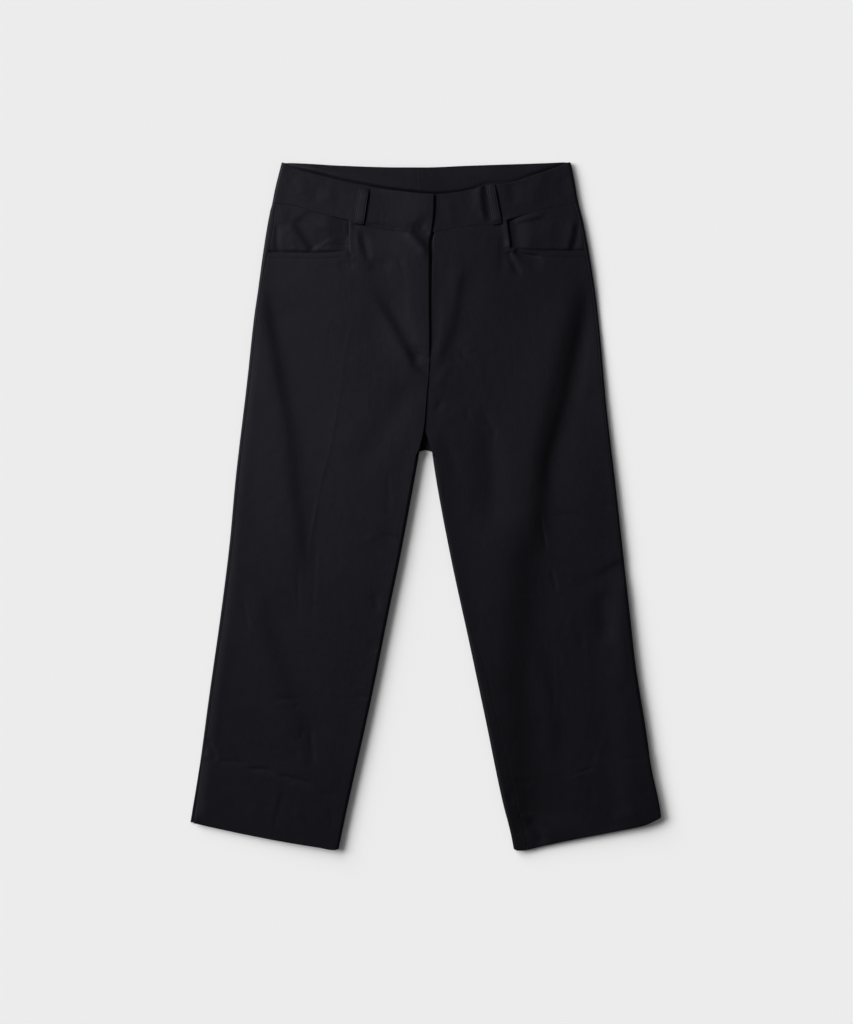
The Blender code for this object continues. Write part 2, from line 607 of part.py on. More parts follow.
def block(name, centre, size, bevel, finish):
    """Box with rounded edges."""
    mesh = bmesh.new()
    bmesh.ops.create_cube(mesh, size=1.0)
    bmesh.ops.scale(mesh, vec=np.array(size) * MM, verts=mesh.verts)
    bmesh.ops.translate(mesh, vec=np.array(centre) * MM, verts=mesh.verts)
    bmesh.ops.bevel(mesh, geom=mesh.edges[:], offset=bevel * MM, segments=2, profile=0.5, affect="EDGES")
    return finish_solid(name, mesh, finish)


def zip_chain():
    """Closed teeth as one bar."""
    low, high = CHAIN_ENDS
    centre = (0.0, (low + high) / 2, (CHAIN_BASE + CHAIN_TOP) / 2)
    size = (2 * CHAIN_HALF_WIDTH, high - low, CHAIN_TOP - CHAIN_BASE)
    return block("zip_chain", centre, size, CHAIN_BEVEL, TAPE)


def prism(name, first, last, finish):
    """Solid between two equal rings of points round the hook's centre."""
    mesh = bmesh.new()
    x0, y0 = HOOK_CENTRE
    rings = []
    for ring in (first, last):
        rings.append([mesh.verts.new(((x0 + x) * MM, (y0 + y) * MM, z * MM)) for x, y, z in ring])
    for index in range(len(first)):
        before = index - 1
        mesh.faces.new([rings[0][before], rings[0][index], rings[1][index], rings[1][before]])
    mesh.faces.new(rings[0])
    mesh.faces.new(rings[1][::-1])
    return finish_solid(name, mesh, finish)


def waist_hook():
    """Hook plate under the right end of the band, with its tongue turned back under the bar."""
    low, high, plate = HOOK["low"], HOOK["high"], HOOK["plate"]
    end = HOOK["length"] / 2
    half = HOOK["width"] / 2
    profile = [(-end, high), (end, high), (end, low), (0.0, low), (0.0, low + plate),
               (end - plate, low + plate), (end - plate, high - plate), (-end, high - plate)]
    first = [(x, -half, z) for x, z in profile]
    last = [(x, half, z) for x, z in profile]
    return prism("waist_hook", first, last, DARK_METAL)


def waist_bar():
    """Bar on the underlap: a crosspiece through the hook's mouth, on two feet outside it."""
    low, under, high = BAR["low"], BAR["under"], BAR["high"]
    end = BAR["length"] / 2
    foot = end - BAR["foot"]
    near = BAR["offset"]
    far = near + BAR["width"]
    profile = [(-end, low), (-end, high), (end, high), (end, low), (foot, low), (foot, under), (-foot, under),
               (-foot, low)]
    first = [(near, y, z) for y, z in profile]
    last = [(far, y, z) for y, z in profile]
    return prism("waist_bar", first, last, DARK_METAL)


def build():
    for old in list(bpy.data.objects):
        bpy.data.objects.remove(old, do_unlink=True)
    for side in SIDES:
        front_panel(side)
        back_panel(side)
        pocket_facing(side)
        waistband(side)
        front_belt_loop(side)
        back_belt_loop(side)
        zip_tape(side)
    fly_shield()
    zip_chain()
    block("zip_slider", SLIDER["centre"], SLIDER["size"], SLIDER["bevel"], DARK_METAL)
    block("zip_pull", PULL["centre"], PULL["size"], PULL["bevel"], DARK_METAL)
    waist_hook()
    waist_bar()


build()
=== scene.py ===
"""Looks of the cropped trousers: cloth panels with their folds, seams, stitches and zip, on a pale floor.

Sizes and tables are in millimetres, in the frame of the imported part: +X is the wearer's left, +Y runs up to
the waist, and Z is height above the floor. Meshes are built in metres.
"""

import json
import math

import bpy
import numpy as np
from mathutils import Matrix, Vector

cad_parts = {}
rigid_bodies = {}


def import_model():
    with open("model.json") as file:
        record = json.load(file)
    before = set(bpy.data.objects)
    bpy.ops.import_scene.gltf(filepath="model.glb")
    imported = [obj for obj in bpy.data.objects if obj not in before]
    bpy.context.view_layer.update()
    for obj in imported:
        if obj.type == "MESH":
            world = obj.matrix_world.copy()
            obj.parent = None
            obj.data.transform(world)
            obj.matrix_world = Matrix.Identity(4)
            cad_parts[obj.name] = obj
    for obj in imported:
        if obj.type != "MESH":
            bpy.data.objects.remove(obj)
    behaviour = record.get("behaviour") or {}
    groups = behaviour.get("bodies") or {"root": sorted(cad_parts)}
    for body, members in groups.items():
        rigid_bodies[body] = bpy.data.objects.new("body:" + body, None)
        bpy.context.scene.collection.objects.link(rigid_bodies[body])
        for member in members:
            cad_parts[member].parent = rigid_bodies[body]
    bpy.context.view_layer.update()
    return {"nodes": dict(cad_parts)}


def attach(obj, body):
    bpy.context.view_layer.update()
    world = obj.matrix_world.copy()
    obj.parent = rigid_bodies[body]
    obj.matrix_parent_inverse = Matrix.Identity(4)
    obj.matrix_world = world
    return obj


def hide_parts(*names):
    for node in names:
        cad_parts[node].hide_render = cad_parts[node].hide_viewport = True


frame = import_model()

MM = 0.001

# Cloth and gaps
CLOTH = 1.1
HEM_WALL = 1.8
BAND_WALL = 2.2
BAND_DEPTH = 49.0
BAND_STEP = 0.15  # the waistband's upper surface above the panels'
LOOP_WALL = 1.4
SEAM_GAP = 0.12
BAND_GAP = 0.04
CENTRE_GAP = 0.01
PLY_GAP = 0.6
LAP_DROP = CLOTH + PLY_GAP
FACING_LAP = 9.0  # how far a pocket facing runs on under the front
LAP_START = 1.0  # where it starts to drop under the front, before the pocket mouth
MOUTH_DIP = [(1.3, 3.2), (0.6, 26.0)]  # (fall, width) of a facing toward the lower side of the pocket mouth
MOUTH_SIDE_DIP = [(1.75, 34.0)]
FREE_EDGE = (1.3, 1.0)  # reach of the rounding at a free border, and share of the wall that it takes
SEAM_EDGE = (0.8, 0.5)
BAND_EDGE = (0.6, 0.22)
VENT_EDGE = (2.6, 0.8)
LOOP_EDGE = (1.3, 0.8)
EDGE_LEAST = 0.06  # half the wall left at a rounded border

# Grids
EDGE_STEPS = (0.0, 0.2, 0.5, 0.95, 1.6, 2.6)  # rows and columns this far from a border, then even ones
FRONT_COLUMNS = (44, 42)
FACING_COLUMNS = 44
FACING_ROWS = 30
BAND_ROWS = 22
BAND_FRONT_COLUMNS = 84
BAND_BACK_COLUMNS = 44
BACK_FLAT_COLUMNS = 40
ROLL_STEPS = 20
LEG_ROWS = dict(pocket=16, apex=92, fork=14, roll=6, vent=170, hem_line=5, hem_step=2, hem=30)
HEM_STEP = 4.0
ACROSS = 400.0
SETTLE_STEPS = 8
CHUNK = 4096  # places handled at once beside a fold
FOLD_FAR = 2.6  # times its reach, beyond which a fold adds nothing
FAR = 99.0  # stands for no border near
SHARP_ANGLE = 60.0
TUBE_SIDES = 6
TUBE_TIP = 0.25  # share of a tube's radius left at its ends

# Folded edges
ROLL_STRIP = 9.0
ROLL_WIDTH = 13.0
ROLL_TOP = 3.0
BAND_ROLL = 8.0
BAND_ROLL_SPARE = 5  # last points of a roll that the front of the band goes on from
CURL_START = 0.8
FORK_FADE = 12.0
VENT_FADE = 5.0

APEX_Y = 104.7
FORK_Y = 72.3
BACK_HEM_LIFT = 1.6

# Topstitching
FLY_END = 186.0  # the fly's border is free from here up to its top
FLY_TOP = 400.0
MOUTH_STITCH = 7.6
MOUTH_STEPS = (0.2, 0.5, 0.95, 1.6, 2.6, 4.0, 5.4, 6.4, 7.1, 7.6, 8.1, 8.8, 9.8)  # rows below the mouth
FLY_STITCH = [(-39.5, 317), (-28, 290), (-26.8, 264), (-24, 235), (-20, 205), (-13, 190), (-4, 184),
              (2.5, 182)]
FLY_TACKS = [((-5, 187), (0.85, 0.5))]  # middle, and direction across
FLY_TACK_WIDTH = 8.0
MOUTH_CORNER_Y = 330.0  # where the pocket mouth turns up
MOUTH_OUTER_Y = 325.0  # where it meets the side seam
MOUTH_POINTS = 20
STITCH_STOP = 1.5  # from a seam to the first stitch beside it

# Stage, in metres, with angles in degrees
FLOOR_SIZE = 8.0
FLOOR_GAP = 0.0002
FLOOR_SHADE = 0.8
WORLD_COLOUR = (1.0, 1.0, 1.0)
WORLD_STRENGTH = 0.157
KEYS = [
    dict(strength=3.3, angle=30.0, place=(165.0, 30.0)),
    dict(strength=2.73, angle=40.0, place=(132.0, 25.0)),
]
SOFT_SIZE = (0.5, 0.5)
SOFT_POWER = 28.0
SOFT_PLACE = (-0.96, 0.64, 0.9)
SOFT_AIM = (-0.05, 0.15, 0.0)
CAMERA_LENS = 85.0
CAMERA_SENSOR = 36.0
CAMERA_END = 20.0
CAMERA_PLACE = (0.00083, -0.00704, 3.095)

# Height of the upper surface: (y, z)
REST_HEIGHT = [(440, 6.2), (400, 6.2), (350, 6.1), (325, 6.0), (290, 5.7), (220, 5.3), (0, 5.0), (-310, 4.9),
               (-345, 5.3), (-440, 5.1)]
EDGE_HEIGHT = [(440, 6.6), (325, 6.4), (200, 5.9), (0, 5.7), (-300, 5.6), (-440, 5.6)]
LOWEST_TOP = 2.6

# Waistband: (x, y)
FRONT_TOP = [(-184.5, 440), (-161, 430.7), (-133, 423), (-96, 414), (-33, 403.2), (12, 399.2), (45, 402.5),
             (62, 406), (78, 412.2), (101, 413), (140, 424.3), (185.5, 440)]
BAND_SEAM = [(-196.5, 388), (-167, 384.5), (-140, 375.5), (-97, 365.2), (-74, 357.5), (-29, 352), (5, 350.2),
             (46, 358), (90, 361), (106, 366.5), (149, 379.5), (196.5, 388.5)]
BACK_TOP = [(-184.5, 440), (-151, 438.4), (-112, 436), (-33, 433.7), (-2, 433.7), (51, 435.8), (158, 439.5),
            (185.5, 441)]
BACK_SEAM = [(-197, 388), (-100, 385), (0, 383), (100, 386), (198, 388.5)]
CENTRE_BACK = [(434, -11.7), (408, -9.4), (384, -7.5), (200, -2.0), (72, 0.0)]
UNDERLAP_END = -29.0
UNDERLAP_TOP = 4.8
UNDERLAP_STEP = (10.5, 4.5)
BULGE = (4.2, 0.34, 4.4)  # highest rise of the back band above the front one, share of the width shown, slope
BULGE_SIDE = [(-184, 1.0), (-20, 1.0), (30, 0.6), (184, 0.5)]

# Belt loops
LOOP_WIDTH = 13.0
FRONT_LOOP_WIDTH = {"right": 13.0, "left": 11.4}
LOOP_ARCH = 1.1
FRONT_LOOPS = {"right": ((-78.5, 406.5), (-85.5, 360.0)), "left": ((82.3, 411.0), (91.8, 360.0))}
BACK_LOOP_X = {"right": -98.0, "left": 98.0}
BACK_LOOP_FADE = (8.0, 60.0)
LOOP_ROWS = 60
LOOP_COLUMNS = 24
LOOP_RISE = 0.16  # share of the loop's length over which it rises off the band
LOOP_CROWN = 0.06
LOOP_TILT = {"right": 0.6, "left": 0.2}  # share of a loop's stand-off that its inner edge lacks
LOOP_SEAT = 0.1  # above the band at its sewn ends
LOOP_STITCH = 2.0  # from its edge to the stitches along it
LOOP_STITCH_END = 2.5  # from its ends to the first stitch
LOOP_TACK = 1.6  # from its ends to the bar tacks
LOOP_TACK_INSET = 2.4  # by how much a tack is narrower than the loop
LOOP_GROOVE = (0.25, 0.6)  # depth and half-width of the groove that the stitches pull
UNDER_STITCH = 0.26  # height of the threads under a back loop

# Stitches
STITCH_PITCH = 3.1
STITCH_LENGTH = 2.4
STITCH_SAMPLING = 0.5
THREAD = 0.15  # radius
THREAD_POINTS = 6
THREAD_ARCH = 1.3  # rise of a stitch's middle, and depth of its ends, in radii
THREAD_SINK = 0.8
TACK_DEPTH = 1.6
TACK_COUNT = 9
TACK_LEAN = 0.35  # slant of a tack's stitches, as a share of the distance between them
THREAD_GROOVE = (0.2, 1.3)  # depth and half-width of the groove that topstitching pulls into the cloth

# Fly
SHIELD = dict(left_x=-29.0, right_x=15.0, top_y=349.3, bottom_y=196.0, base=1.4, corner=16.0)
CHAIN_BASE = 2.8
CHAIN_TOP = 4.6
CHAIN_ENDS = (203.0, 335.5)
TAPE_WALL = 0.8
TAPE_END = 13.7
TAPE_INNER = [(348.8, 3.6), (347, 4.5), (335.2, 4.5), (333, 2.5), (199.5, 2.5)]
TAPE_SPAN = (199.5, 348.8)
TAPE_ROWS = 60
TAPE_RIB = 0.08
TAPE_RIB_PITCH = 2.2
TAPE_RIB_ROOM = 0.1  # by how much the ribs' middle height lies below the tape's wall
TAPE_COLUMNS = 44
SHIELD_ROWS = 60
SHIELD_COLUMNS = 30
COIL_PITCH = 1.3
COIL_SAMPLES = 10
COIL_X = 1.0
COIL_REACH = 0.85
COIL_HEIGHT = 0.5
COIL_RADIUS = 0.32

SIDES = {
    "right": dict(
        outer=[(440, -184.3), (405, -193), (386, -196.8), (378, -199), (328, -207.6), (277, -214.6),
               (239, -220), (162, -228.4), (34, -243.5), (-43, -250.6), (-120, -260), (-248, -278),
               (-324, -288.3), (-404, -301.2)],
        inner=[(FORK_Y, -7.7), (34, -14.5), (-68, -33.5), (-120, -44.4), (-248, -70.1), (-376, -98.4),
               (-440, -111.8)],
        front_edge=[(399, 11), (374, 10), (350, 7.2), (340, 4.6), (320, 4.3), (264, 4.4), (207, 5.0),
                    (190, 5.0), (164, 3.6), (134, 0.8), (APEX_Y, -1.5), (FORK_Y, -8.2)],
        outer_inset=[(388, 5.5), (351, 7.8), (325, 7.0), (300, 4.6), (240, 4.0), (-440, 4.0)],
        inner_inset=[(FORK_Y, 0.8), (62, 3.6), (-440, 3.8)],
        vent_inset=[(-314, 4.0), (-324, 2.0), (-350, 3.0), (-404, 4.6)],
        crease=[(366, -98.4), (325, -97.7), (222, -94.5), (122, -111), (35, -131), (-57, -150),
                (-179, -167), (-440, -200)],
        pocket=[(-205, 324.9), (-140, 324.2), (-98, 326.2), (5, 328)],
        hem_line=[(-290, -325), (-190, -343), (-90, -361)],
        hem=[(-301.5, -403.8), (-262, -412.8), (-184, -428.2), (-137, -435.8), (-118, -438.8),
             (-111.5, -438)],
        centre_rise=[(440, 3.0), (400, 3.1), (375, 3.3), (350, 3.2), (325, 3.2), (300, 3.0),
                     (210, 3.0), (195, 2.2), (170, 0.8), (APEX_Y, 0.6)],
        centre_reach=(3.0, 72.0),
        outer_lift=[(440, 0), (200, 0), (0, 0.3), (-440, 0.3)],
        inner_lift=[(440, 0), (250, 0), (150, 1.3), (105, 2.9), (FORK_Y, 3.8),
                    (0, 4.2), (-100, 4.0), (-300, 3.7), (-440, 3.2)],
    ),
    "left": dict(
        outer=[(441, 184.7), (418, 189.6), (392, 194.2), (363, 201.4), (320, 209.5), (264, 218), (213, 223.4),
               (136, 230.1), (15, 244), (-72, 253.6), (-134, 260.5), (-204, 268.4), (-277, 280.1),
               (-337, 289.2), (-376, 297.7), (-397, 301.2)],
        inner=[(FORK_Y, 7.4), (34, 13.2), (-68, 32.4), (-171, 54.8), (-273, 76.4), (-376, 97.7),
               (-420, 108.7), (-440, 112.5)],
        front_edge=[(399, 14), (374, 13), (350, 10.8), (340, 8.9), (320, 8.2), (264, 6.9), (226, 6.2),
                    (207, 5.8), (190, 5.2), (164, 3.8), (134, 1.0), (APEX_Y, -1.3), (FORK_Y, 7.9)],
        outer_inset=[(388, 5.5), (340, 4.6), (325, 5.2), (300, 4.6), (275, 4.0), (-440, 4.0)],
        inner_inset=[(FORK_Y, 0.8), (62, 3.6), (-120, 3.8), (-148, 5.2), (-210, 12.5), (-273, 14.5),
                     (-347, 17.5), (-440, 18.0)],
        vent_inset=[(-308, 4.0), (-318, 1.6), (-404, 1.3)],
        crease=[(370, 103.2), (332, 108.4), (250, 118), (12, 143.6), (-57, 155), (-108, 161), (-247, 167),
                (-440, 187)],
        pocket=[(-2, 331), (100, 331.2), (109, 331), (131, 327.3), (156, 326.5), (206, 326.5)],
        hem_line=[(90, -361), (180, -346), (292, -318)],
        hem=[(112, -438.6), (117.5, -440.4), (154, -433), (197, -424.1), (242, -415.4), (278.6, -407.7),
             (292, -402), (301.5, -396.8)],
        centre_rise=[(440, 0.5), (350, -0.3), (300, -0.4), (210, -0.2), (195, 0.1), (170, 0.3),
                     (APEX_Y, 0.4)],
        centre_reach=(8.0, 40.0),
        outer_lift=[(440, 0), (260, -0.4), (150, 0.8), (0, 2.2), (-100, 3.2), (-250, 3.8), (-440, 3.4)],
        inner_lift=[(440, 0), (150, 0.4), (FORK_Y, 1.4), (0, 1.4), (-300, 0.8), (-440, 0.6)],
    ),
}


def ridge(path, height, left, right, ends=(0.3, 0.3)):
    """Ridge, or trough below 0: its height along a path, and its reach on the path's left and right hand."""
    return dict(path=path, height=height, reach=(left, right), ends=ends)


def ledge(path, drop, width, left, right, ends=(0.3, 0.3)):
    """Drop toward a path's left hand, over a width, that recovers over the reach on either hand."""
    return dict(path=path, drop=drop, width=width, reach=(left, right), ends=ends)


# Folds of the fronts, of the pocket facings and of the backs. Ends are the shares of a path over which a
# fold fades in and out.
FOLDS = {
    "right": [
        ledge([(-205, 280), (-201, 245), (-193, 195), (-185, 149), (-178, 115),
               (-173, 79)], 0.35, 3.2, 12, 10, (0.1, 0.3)),
        ledge([(-203, 280), (-200, 245), (-190, 195), (-183, 149), (-176, 115), (-171, 79), (-167, 24),
               (-161, -19), (-157, -63), (-156, -115)], 2.4, 9.5, 70, 48, (0.1, 0.2)),
        ridge([(-214, 285), (-229, 156), (-244, 34), (-260, -120), (-278, -248), (-292, -358),
               (-296, -401)], -1.3, 8, 8, (0.2, 0.04)),
        ridge([(-242, 47), (-260, -120), (-278, -248), (-292, -358), (-296, -401)], -0.9, 8, 8, (0.4, 0.04)),
        ridge([(-210, 264), (-205, 200), (-200, 136)], 0.3, 10, 10),
        ledge([(-216, -107), (-205, -148), (-193, -185), (-180, -223), (-168, -255), (-157, -286),
               (-150, -322)], 2.1, 12, 46, 34, (0.22, 0.2)),
        ridge([(-9, 170), (-30, 136), (-51, 100), (-75, 66), (-100, 34)], -0.8, 18, 18, (0.25, 0.35)),
        ridge([(-68, 277), (-48, 248), (-34, 225), (-24, 203), (-11, 180)], -0.5, 14, 12, (0.35, 0.1)),
        ledge([(-72, 281), (-60, 264), (-47, 245), (-36, 225), (-27, 207), (-19, 190), (-10, 177),
               (2, 164)], 2.7, 6.6, 22, 14, (0.35, 0.25)),
        ledge([(-24, 204), (-19, 191), (-13, 177)], 1.5, 5, 12, 6, (0.25, 0.3)),
        ridge([(-82, 346), (-82, 264), (-77, 207)], 0.9, 34, 50, (0.2, 0.4)),
        ridge([(-69, 403), (-66, 359)], 0.8, 24, 30, (0.1, 0.1)),
        ridge([(-89, 249), (-98, 220), (-110, 149), (-115, 115), (-124, 66), (-132, 39), (-139, 3),
               (-147, -47), (-157, -107)], 0.13, 2.4, 2.4, (0.12, 0.3)),
        ridge([(-138, 12), (-143, -17), (-150, -53)], 0.1, 2.4, 2.4, (0.3, 0.4)),
        ridge([(-163, -71), (-163, -107), (-162, -135)], -0.28, 2.4, 2.4, (0.3, 0.4)),
        ridge([(-134, -30), (-141, -68), (-144, -120), (-146, -166)], -0.2, 2.2, 2.4, (0.3, 0.4)),
        ridge([(-234, -117), (-225, -163)], -0.28, 2.4, 2.4, (0.3, 0.4)),
        ridge([(-47, 52), (-48, -20)], -0.25, 3.4, 4),
        ridge([(-62, -34), (-43, -39), (-25, -49)], -0.6, 3.4, 4, (0.4, 0.2)),
        ridge([(-79, -38), (-62, -44)], 0.3, 5, 5, (0.4, 0.4)),
        ridge([(-75, -171), (-60, -184)], -0.45, 4, 4, (0.4, 0.2)),
        ridge([(-94, -240), (-69, -244)], -0.4, 3.5, 3.5, (0.4, 0.2)),
        ridge([(-68, -109), (-59, -135)], -0.5, 3, 4, (0.4, 0.3)),
        ridge([(-197, -244), (-176, -246), (-153, -244)], -0.3, 2.4, 2.4),
        ridge([(-192, -252), (-174, -253)], 0.18, 2.4, 2.4, (0.4, 0.4)),
        ridge([(-170, -258), (-160, -254)], -0.3, 2.4, 2.4, (0.4, 0.4)),
        ridge([(-91, 358), (-88, 339), (-86, 319)], 0.35, 4, 4, (0.3, 0.4)),
        ridge([(-83, 354), (-78, 333), (-73, 308)], -0.8, 6, 3.5),
        ridge([(-77, 312), (-59, 310), (-41, 305)], -0.6, 6, 9, (0.35, 0.4)),
        ridge([(-115, 310), (-101, 310), (-87, 307)], -0.5, 5, 9, (0.4, 0.35)),
        ridge([(-100, 325), (-92, 318)], -0.3, 3, 3, (0.2, 0.4)),
        ridge([(-94, 360), (-87, 358)], -0.4, 3, 3, (0.4, 0.4)),
        ledge([(-37, 319), (-29, 313), (-26, 295), (-24, 250), (-20, 221)], -0.3, 3.6, 12, 10, (0.2, 0.3)),
        ridge([(-36, 318), (-30, 308)], -0.3, 3, 3, (0.3, 0.4)),
        ledge([(-24, 359), (-16, 350), (-8, 341), (0, 332), (8, 321)], 4.4, 7, 24, 9, (0.3, 0.25)),
        ridge([(-15, 198), (-9, 194), (-1, 191), (7, 189)], -0.45, 1.8, 2.4, (0.3, 0.02)),
        ridge([(-23, 186), (-13, 180), (-2, 173), (5, 168)], -0.45, 2, 3.4, (0.3, 0.02)),
        ridge([(-19, 202), (-11, 199)], 0.3, 1.8, 1.8),
        ridge([(-280, -296), (-274, -309), (-267, -327)], -0.7, 3, 3.4, (0.2, 0.2)),
        ridge([(-285, -312), (-279, -324)], 0.4, 4, 4),
        ridge([(-271, -327), (-248, -326), (-225, -330)], -0.3, 2.8, 2.6),
        ridge([(-233, -328), (-217, -332), (-200, -331)], 0.2, 2.4, 2.4),
        ridge([(-230, -335), (-210, -335), (-189, -341)], -0.45, 2.8, 2.6),
        ridge([(-210, -342), (-192, -350), (-176, -354)], 0.25, 2.6, 2.4),
        ridge([(-192, -342), (-174, -346), (-156, -351), (-139, -359)], -0.5, 2.4, 2.6, (0.25, 0.3)),
        ridge([(-174, -354), (-161, -360)], 0.35, 2.4, 2.4, (0.4, 0.4)),
        ledge([(-185, -360), (-190, -383), (-197, -409)], 0.6, 3.4, 9, 7, (0.3, 0.35)),
        ridge([(-162, -296), (-158, -312), (-153, -335)], 0.35, 5, 4, (0.35, 0.35)),
        ridge([(-150, -278), (-146, -304), (-143, -335)], -0.5, 4, 4, (0.35, 0.3)),
        ridge([(-157, -278), (-157, -301)], -0.3, 3, 3, (0.35, 0.35)),
        ridge([(-136, -363), (-114, -371)], -0.4, 4, 4, (0.35, 0.35)),
        ridge([(-166, -383), (-161, -404)], 0.3, 5, 5, (0.35, 0.35)),
        ridge([(-123, -383), (-118, -409)], -0.3, 4, 4, (0.35, 0.35)),
        ridge([(-225, -383), (-220, -404)], 0.25, 5, 5, (0.35, 0.35)),
        ridge([(-161, 423), (-156, 397)], 0.35, 7, 7),
        ridge([(-138, 410), (-143, 385)], -0.35, 6, 6),
        ridge([(-123, 413), (-125, 387)], 0.3, 6, 6),
        ridge([(-54, 355), (-28, 353), (4, 351)], -0.55, 7, 2.8),
        ridge([(-32, 354), (-13, 351), (4, 350)], -0.6, 2.6, 3, (0.3, 0.1)),
        ridge([(-59, 364), (-32, 358)], 0.3, 3, 3),
        ridge([(-59, 359), (-33, 353)], -0.35, 2.2, 2.2),
        ridge([(-23, 363), (-19, 353)], -0.4, 2, 2),
        ridge([(-15, 362), (-13, 351)], -0.4, 2, 2),
        ridge([(-6, 360), (-5, 350)], -0.4, 2, 2),
    ],
    "left": [
        ledge([(196, 313), (194, 277), (190, 241), (182, 213), (173, 180), (165, 143), (158, 111), (150, 79),
               (146, 47), (145, 8), (145, -30), (144, -68)], 4.5, 11.5, 48, 42, (0.22, 0.15)),
        ledge([(202, 305), (200, 269), (194, 228), (187, 194), (179, 154), (172, 124), (163, 94), (155, 66),
               (152, 36), (152, 8), (152, -17)], 2.5, 6.4, 38, 18, (0.35, 0.25)),
        ridge([(213, 264), (211, 200), (201, 111)], 0.5, 14, 9, (0.3, 0.4)),
        ledge([(138, 8), (132, -43), (126, -88), (122, -135), (118, -181), (115, -228), (117, -267),
               (120, -337), (124, -422)], 6, 21, 90, 64, (0.18, 0.08)),
        ledge([(144, -158), (155, -216), (163, -260), (167, -305), (168, -350)], 1.3, 7, 48, 22),
        ledge([(53, 318), (45, 284), (40, 254), (34, 226), (24, 198),
               (13, 170)], 1.6, 6.8, 24, 14, (0.25, 0.25)),
        ridge([(26, 290), (21, 226), (13, 175)], 0.3, 5, 6),
        ridge([(69, 141), (78, 100), (82, 62), (85, 19), (86, -43)], -1.15, 17, 16, (0.4, 0.35)),
        ridge([(69, 131), (78, 112), (87, 94), (82, 70)], -0.3, 3.4, 3.4, (0.4, 0.4)),
        ridge([(51, 131), (55, 106)], -0.3, 3, 3, (0.35, 0.35)),
        ridge([(9, 147), (21, 164), (34, 188)], 0.3, 5, 5, (0.25, 0.45)),
        ridge([(13, 118), (18, 131), (24, 141)], -0.5, 4, 4, (0.3, 0.4)),
        ridge([(13, 103), (31, 111), (46, 131)], 0.25, 7, 7, (0.2, 0.4)),
        ridge([(37, 209), (49, 191), (59, 181), (66, 167)], -0.35, 3.4, 3, (0.35, 0.35)),
        ridge([(31, 193), (42, 184)], -0.35, 3, 3, (0.4, 0.3)),
        ridge([(51, 198), (62, 203)], 0.3, 3, 3, (0.4, 0.3)),
        ridge([(23, 85), (34, 57), (39, 26)], -0.35, 6, 6, (0.3, 0.4)),
        ridge([(145, -7), (150, -33), (155, -61)], -0.45, 2.6, 2.4),
        ridge([(158, -76), (163, -92), (167, -112)], -0.35, 2.4, 2.4),
        ridge([(167, -171), (168, -235), (168, -304)], 0.15, 3.5, 3.5, (0.3, 0.4)),
        ridge([(260, -70), (245, -75), (228, -85), (215, -95)], -0.9, 20, 4.6, (0.05, 0.45)),
        ridge([(236, -84), (210, -95), (182, -107)], -0.5, 18, 6, (0.35, 0.4)),
        ridge([(223, -102), (227, -135), (231, -184)], -1.2, 11, 12, (0.25, 0.4)),
        ridge([(251, -84), (250, -120), (251, -184), (256, -235)], 0.6, 9, 9, (0.2, 0.4)),
        ridge([(159, -10), (201, -12)], -0.32, 3, 3, (0.4, 0.4)),
        ridge([(191, 58), (219, 53)], -0.22, 3, 3, (0.4, 0.4)),
        ridge([(223, 6), (246, -1)], -0.4, 3.5, 3.5, (0.4, 0.15)),
        ridge([(109, -112), (124, -113), (141, -113)], -0.32, 2.4, 2.4, (0.4, 0.4)),
        ridge([(110, -117), (138, -117)], 0.12, 2.4, 2.4, (0.4, 0.4)),
        ridge([(174, -181), (179, -207)], 0.25, 4, 4, (0.4, 0.4)),
        ridge([(196, -156), (202, -184)], -0.35, 4, 4, (0.4, 0.4)),
        ridge([(184, -135), (187, -171)], 0.25, 5, 5, (0.4, 0.4)),
        ridge([(103, 371), (106, 351), (109, 330)], 0.9, 6, 7, (0.08, 0.1)),
        ridge([(113, 328), (124, 322), (151, 319)], -1.4, 2.6, 3, (0.1, 0.35)),
        ridge([(131, 316), (154, 312)], -0.55, 2.4, 2.6, (0.3, 0.4)),
        ridge([(122, 317), (133, 316)], 0.3, 2, 2, (0.3, 0.4)),
        ridge([(112, 327), (126, 316), (138, 307), (151, 300)], -0.6, 9, 4, (0.08, 0.35)),
        ridge([(105, 327), (112, 310), (123, 290)], -0.8, 4.4, 4.4, (0.1, 0.4)),
        ridge([(104, 342), (108, 328)], 0.35, 2, 2),
        ridge([(97, 349), (97, 323), (95, 295)], -0.6, 8, 4, (0.3, 0.4)),
        ridge([(181, -353), (195, -344), (210, -338)], 0.25, 2.6, 3, (0.3, 0.4)),
        ridge([(190, -342), (204, -338), (216, -330)], -0.35, 2.4, 2.8, (0.3, 0.35)),
        ridge([(219, -330), (224, -309), (231, -286)], 0.2, 3.6, 4, (0.3, 0.4)),
        ridge([(210, -330), (215, -312)], -0.3, 4, 4, (0.3, 0.4)),
        ridge([(246, -322), (282, -321)], -0.22, 3, 3, (0.35, 0.15)),
        ridge([(109, -350), (136, -356)], -0.5, 3.6, 4),
        ridge([(118, -368), (120, -378), (122, -391)], 0.35, 3.6, 3.6, (0.35, 0.35)),
        ridge([(124, -391), (141, -397), (160, -409)], 0.5, 3.6, 4),
        ridge([(126, -399), (140, -410), (150, -432)], -0.9, 7, 7, (0.3, 0.15)),
        ridge([(105, -363), (110, -383)], -0.5, 4, 4, (0.35, 0.35)),
        ridge([(210, -358), (213, -383)], -0.4, 4, 5, (0.35, 0.35)),
        ridge([(194, -348), (195, -363)], 0.3, 3, 3, (0.35, 0.35)),
        ridge([(238, -399), (274, -391)], 0.4, 8, 6),
        ledge([(227, -120), (234, -184), (242, -248), (248, -324),
               (255, -417)], -2.3, 17, 30, 40, (0.25, 0.04)),
        ridge([(66, 409), (66, 392), (64, 372)], 0.5, 6, 6, (0.2, 0.35)),
        ledge([(72, 413), (74, 387), (78, 362)], 2, 2.4, 13, 7, (0.08, 0.2)),
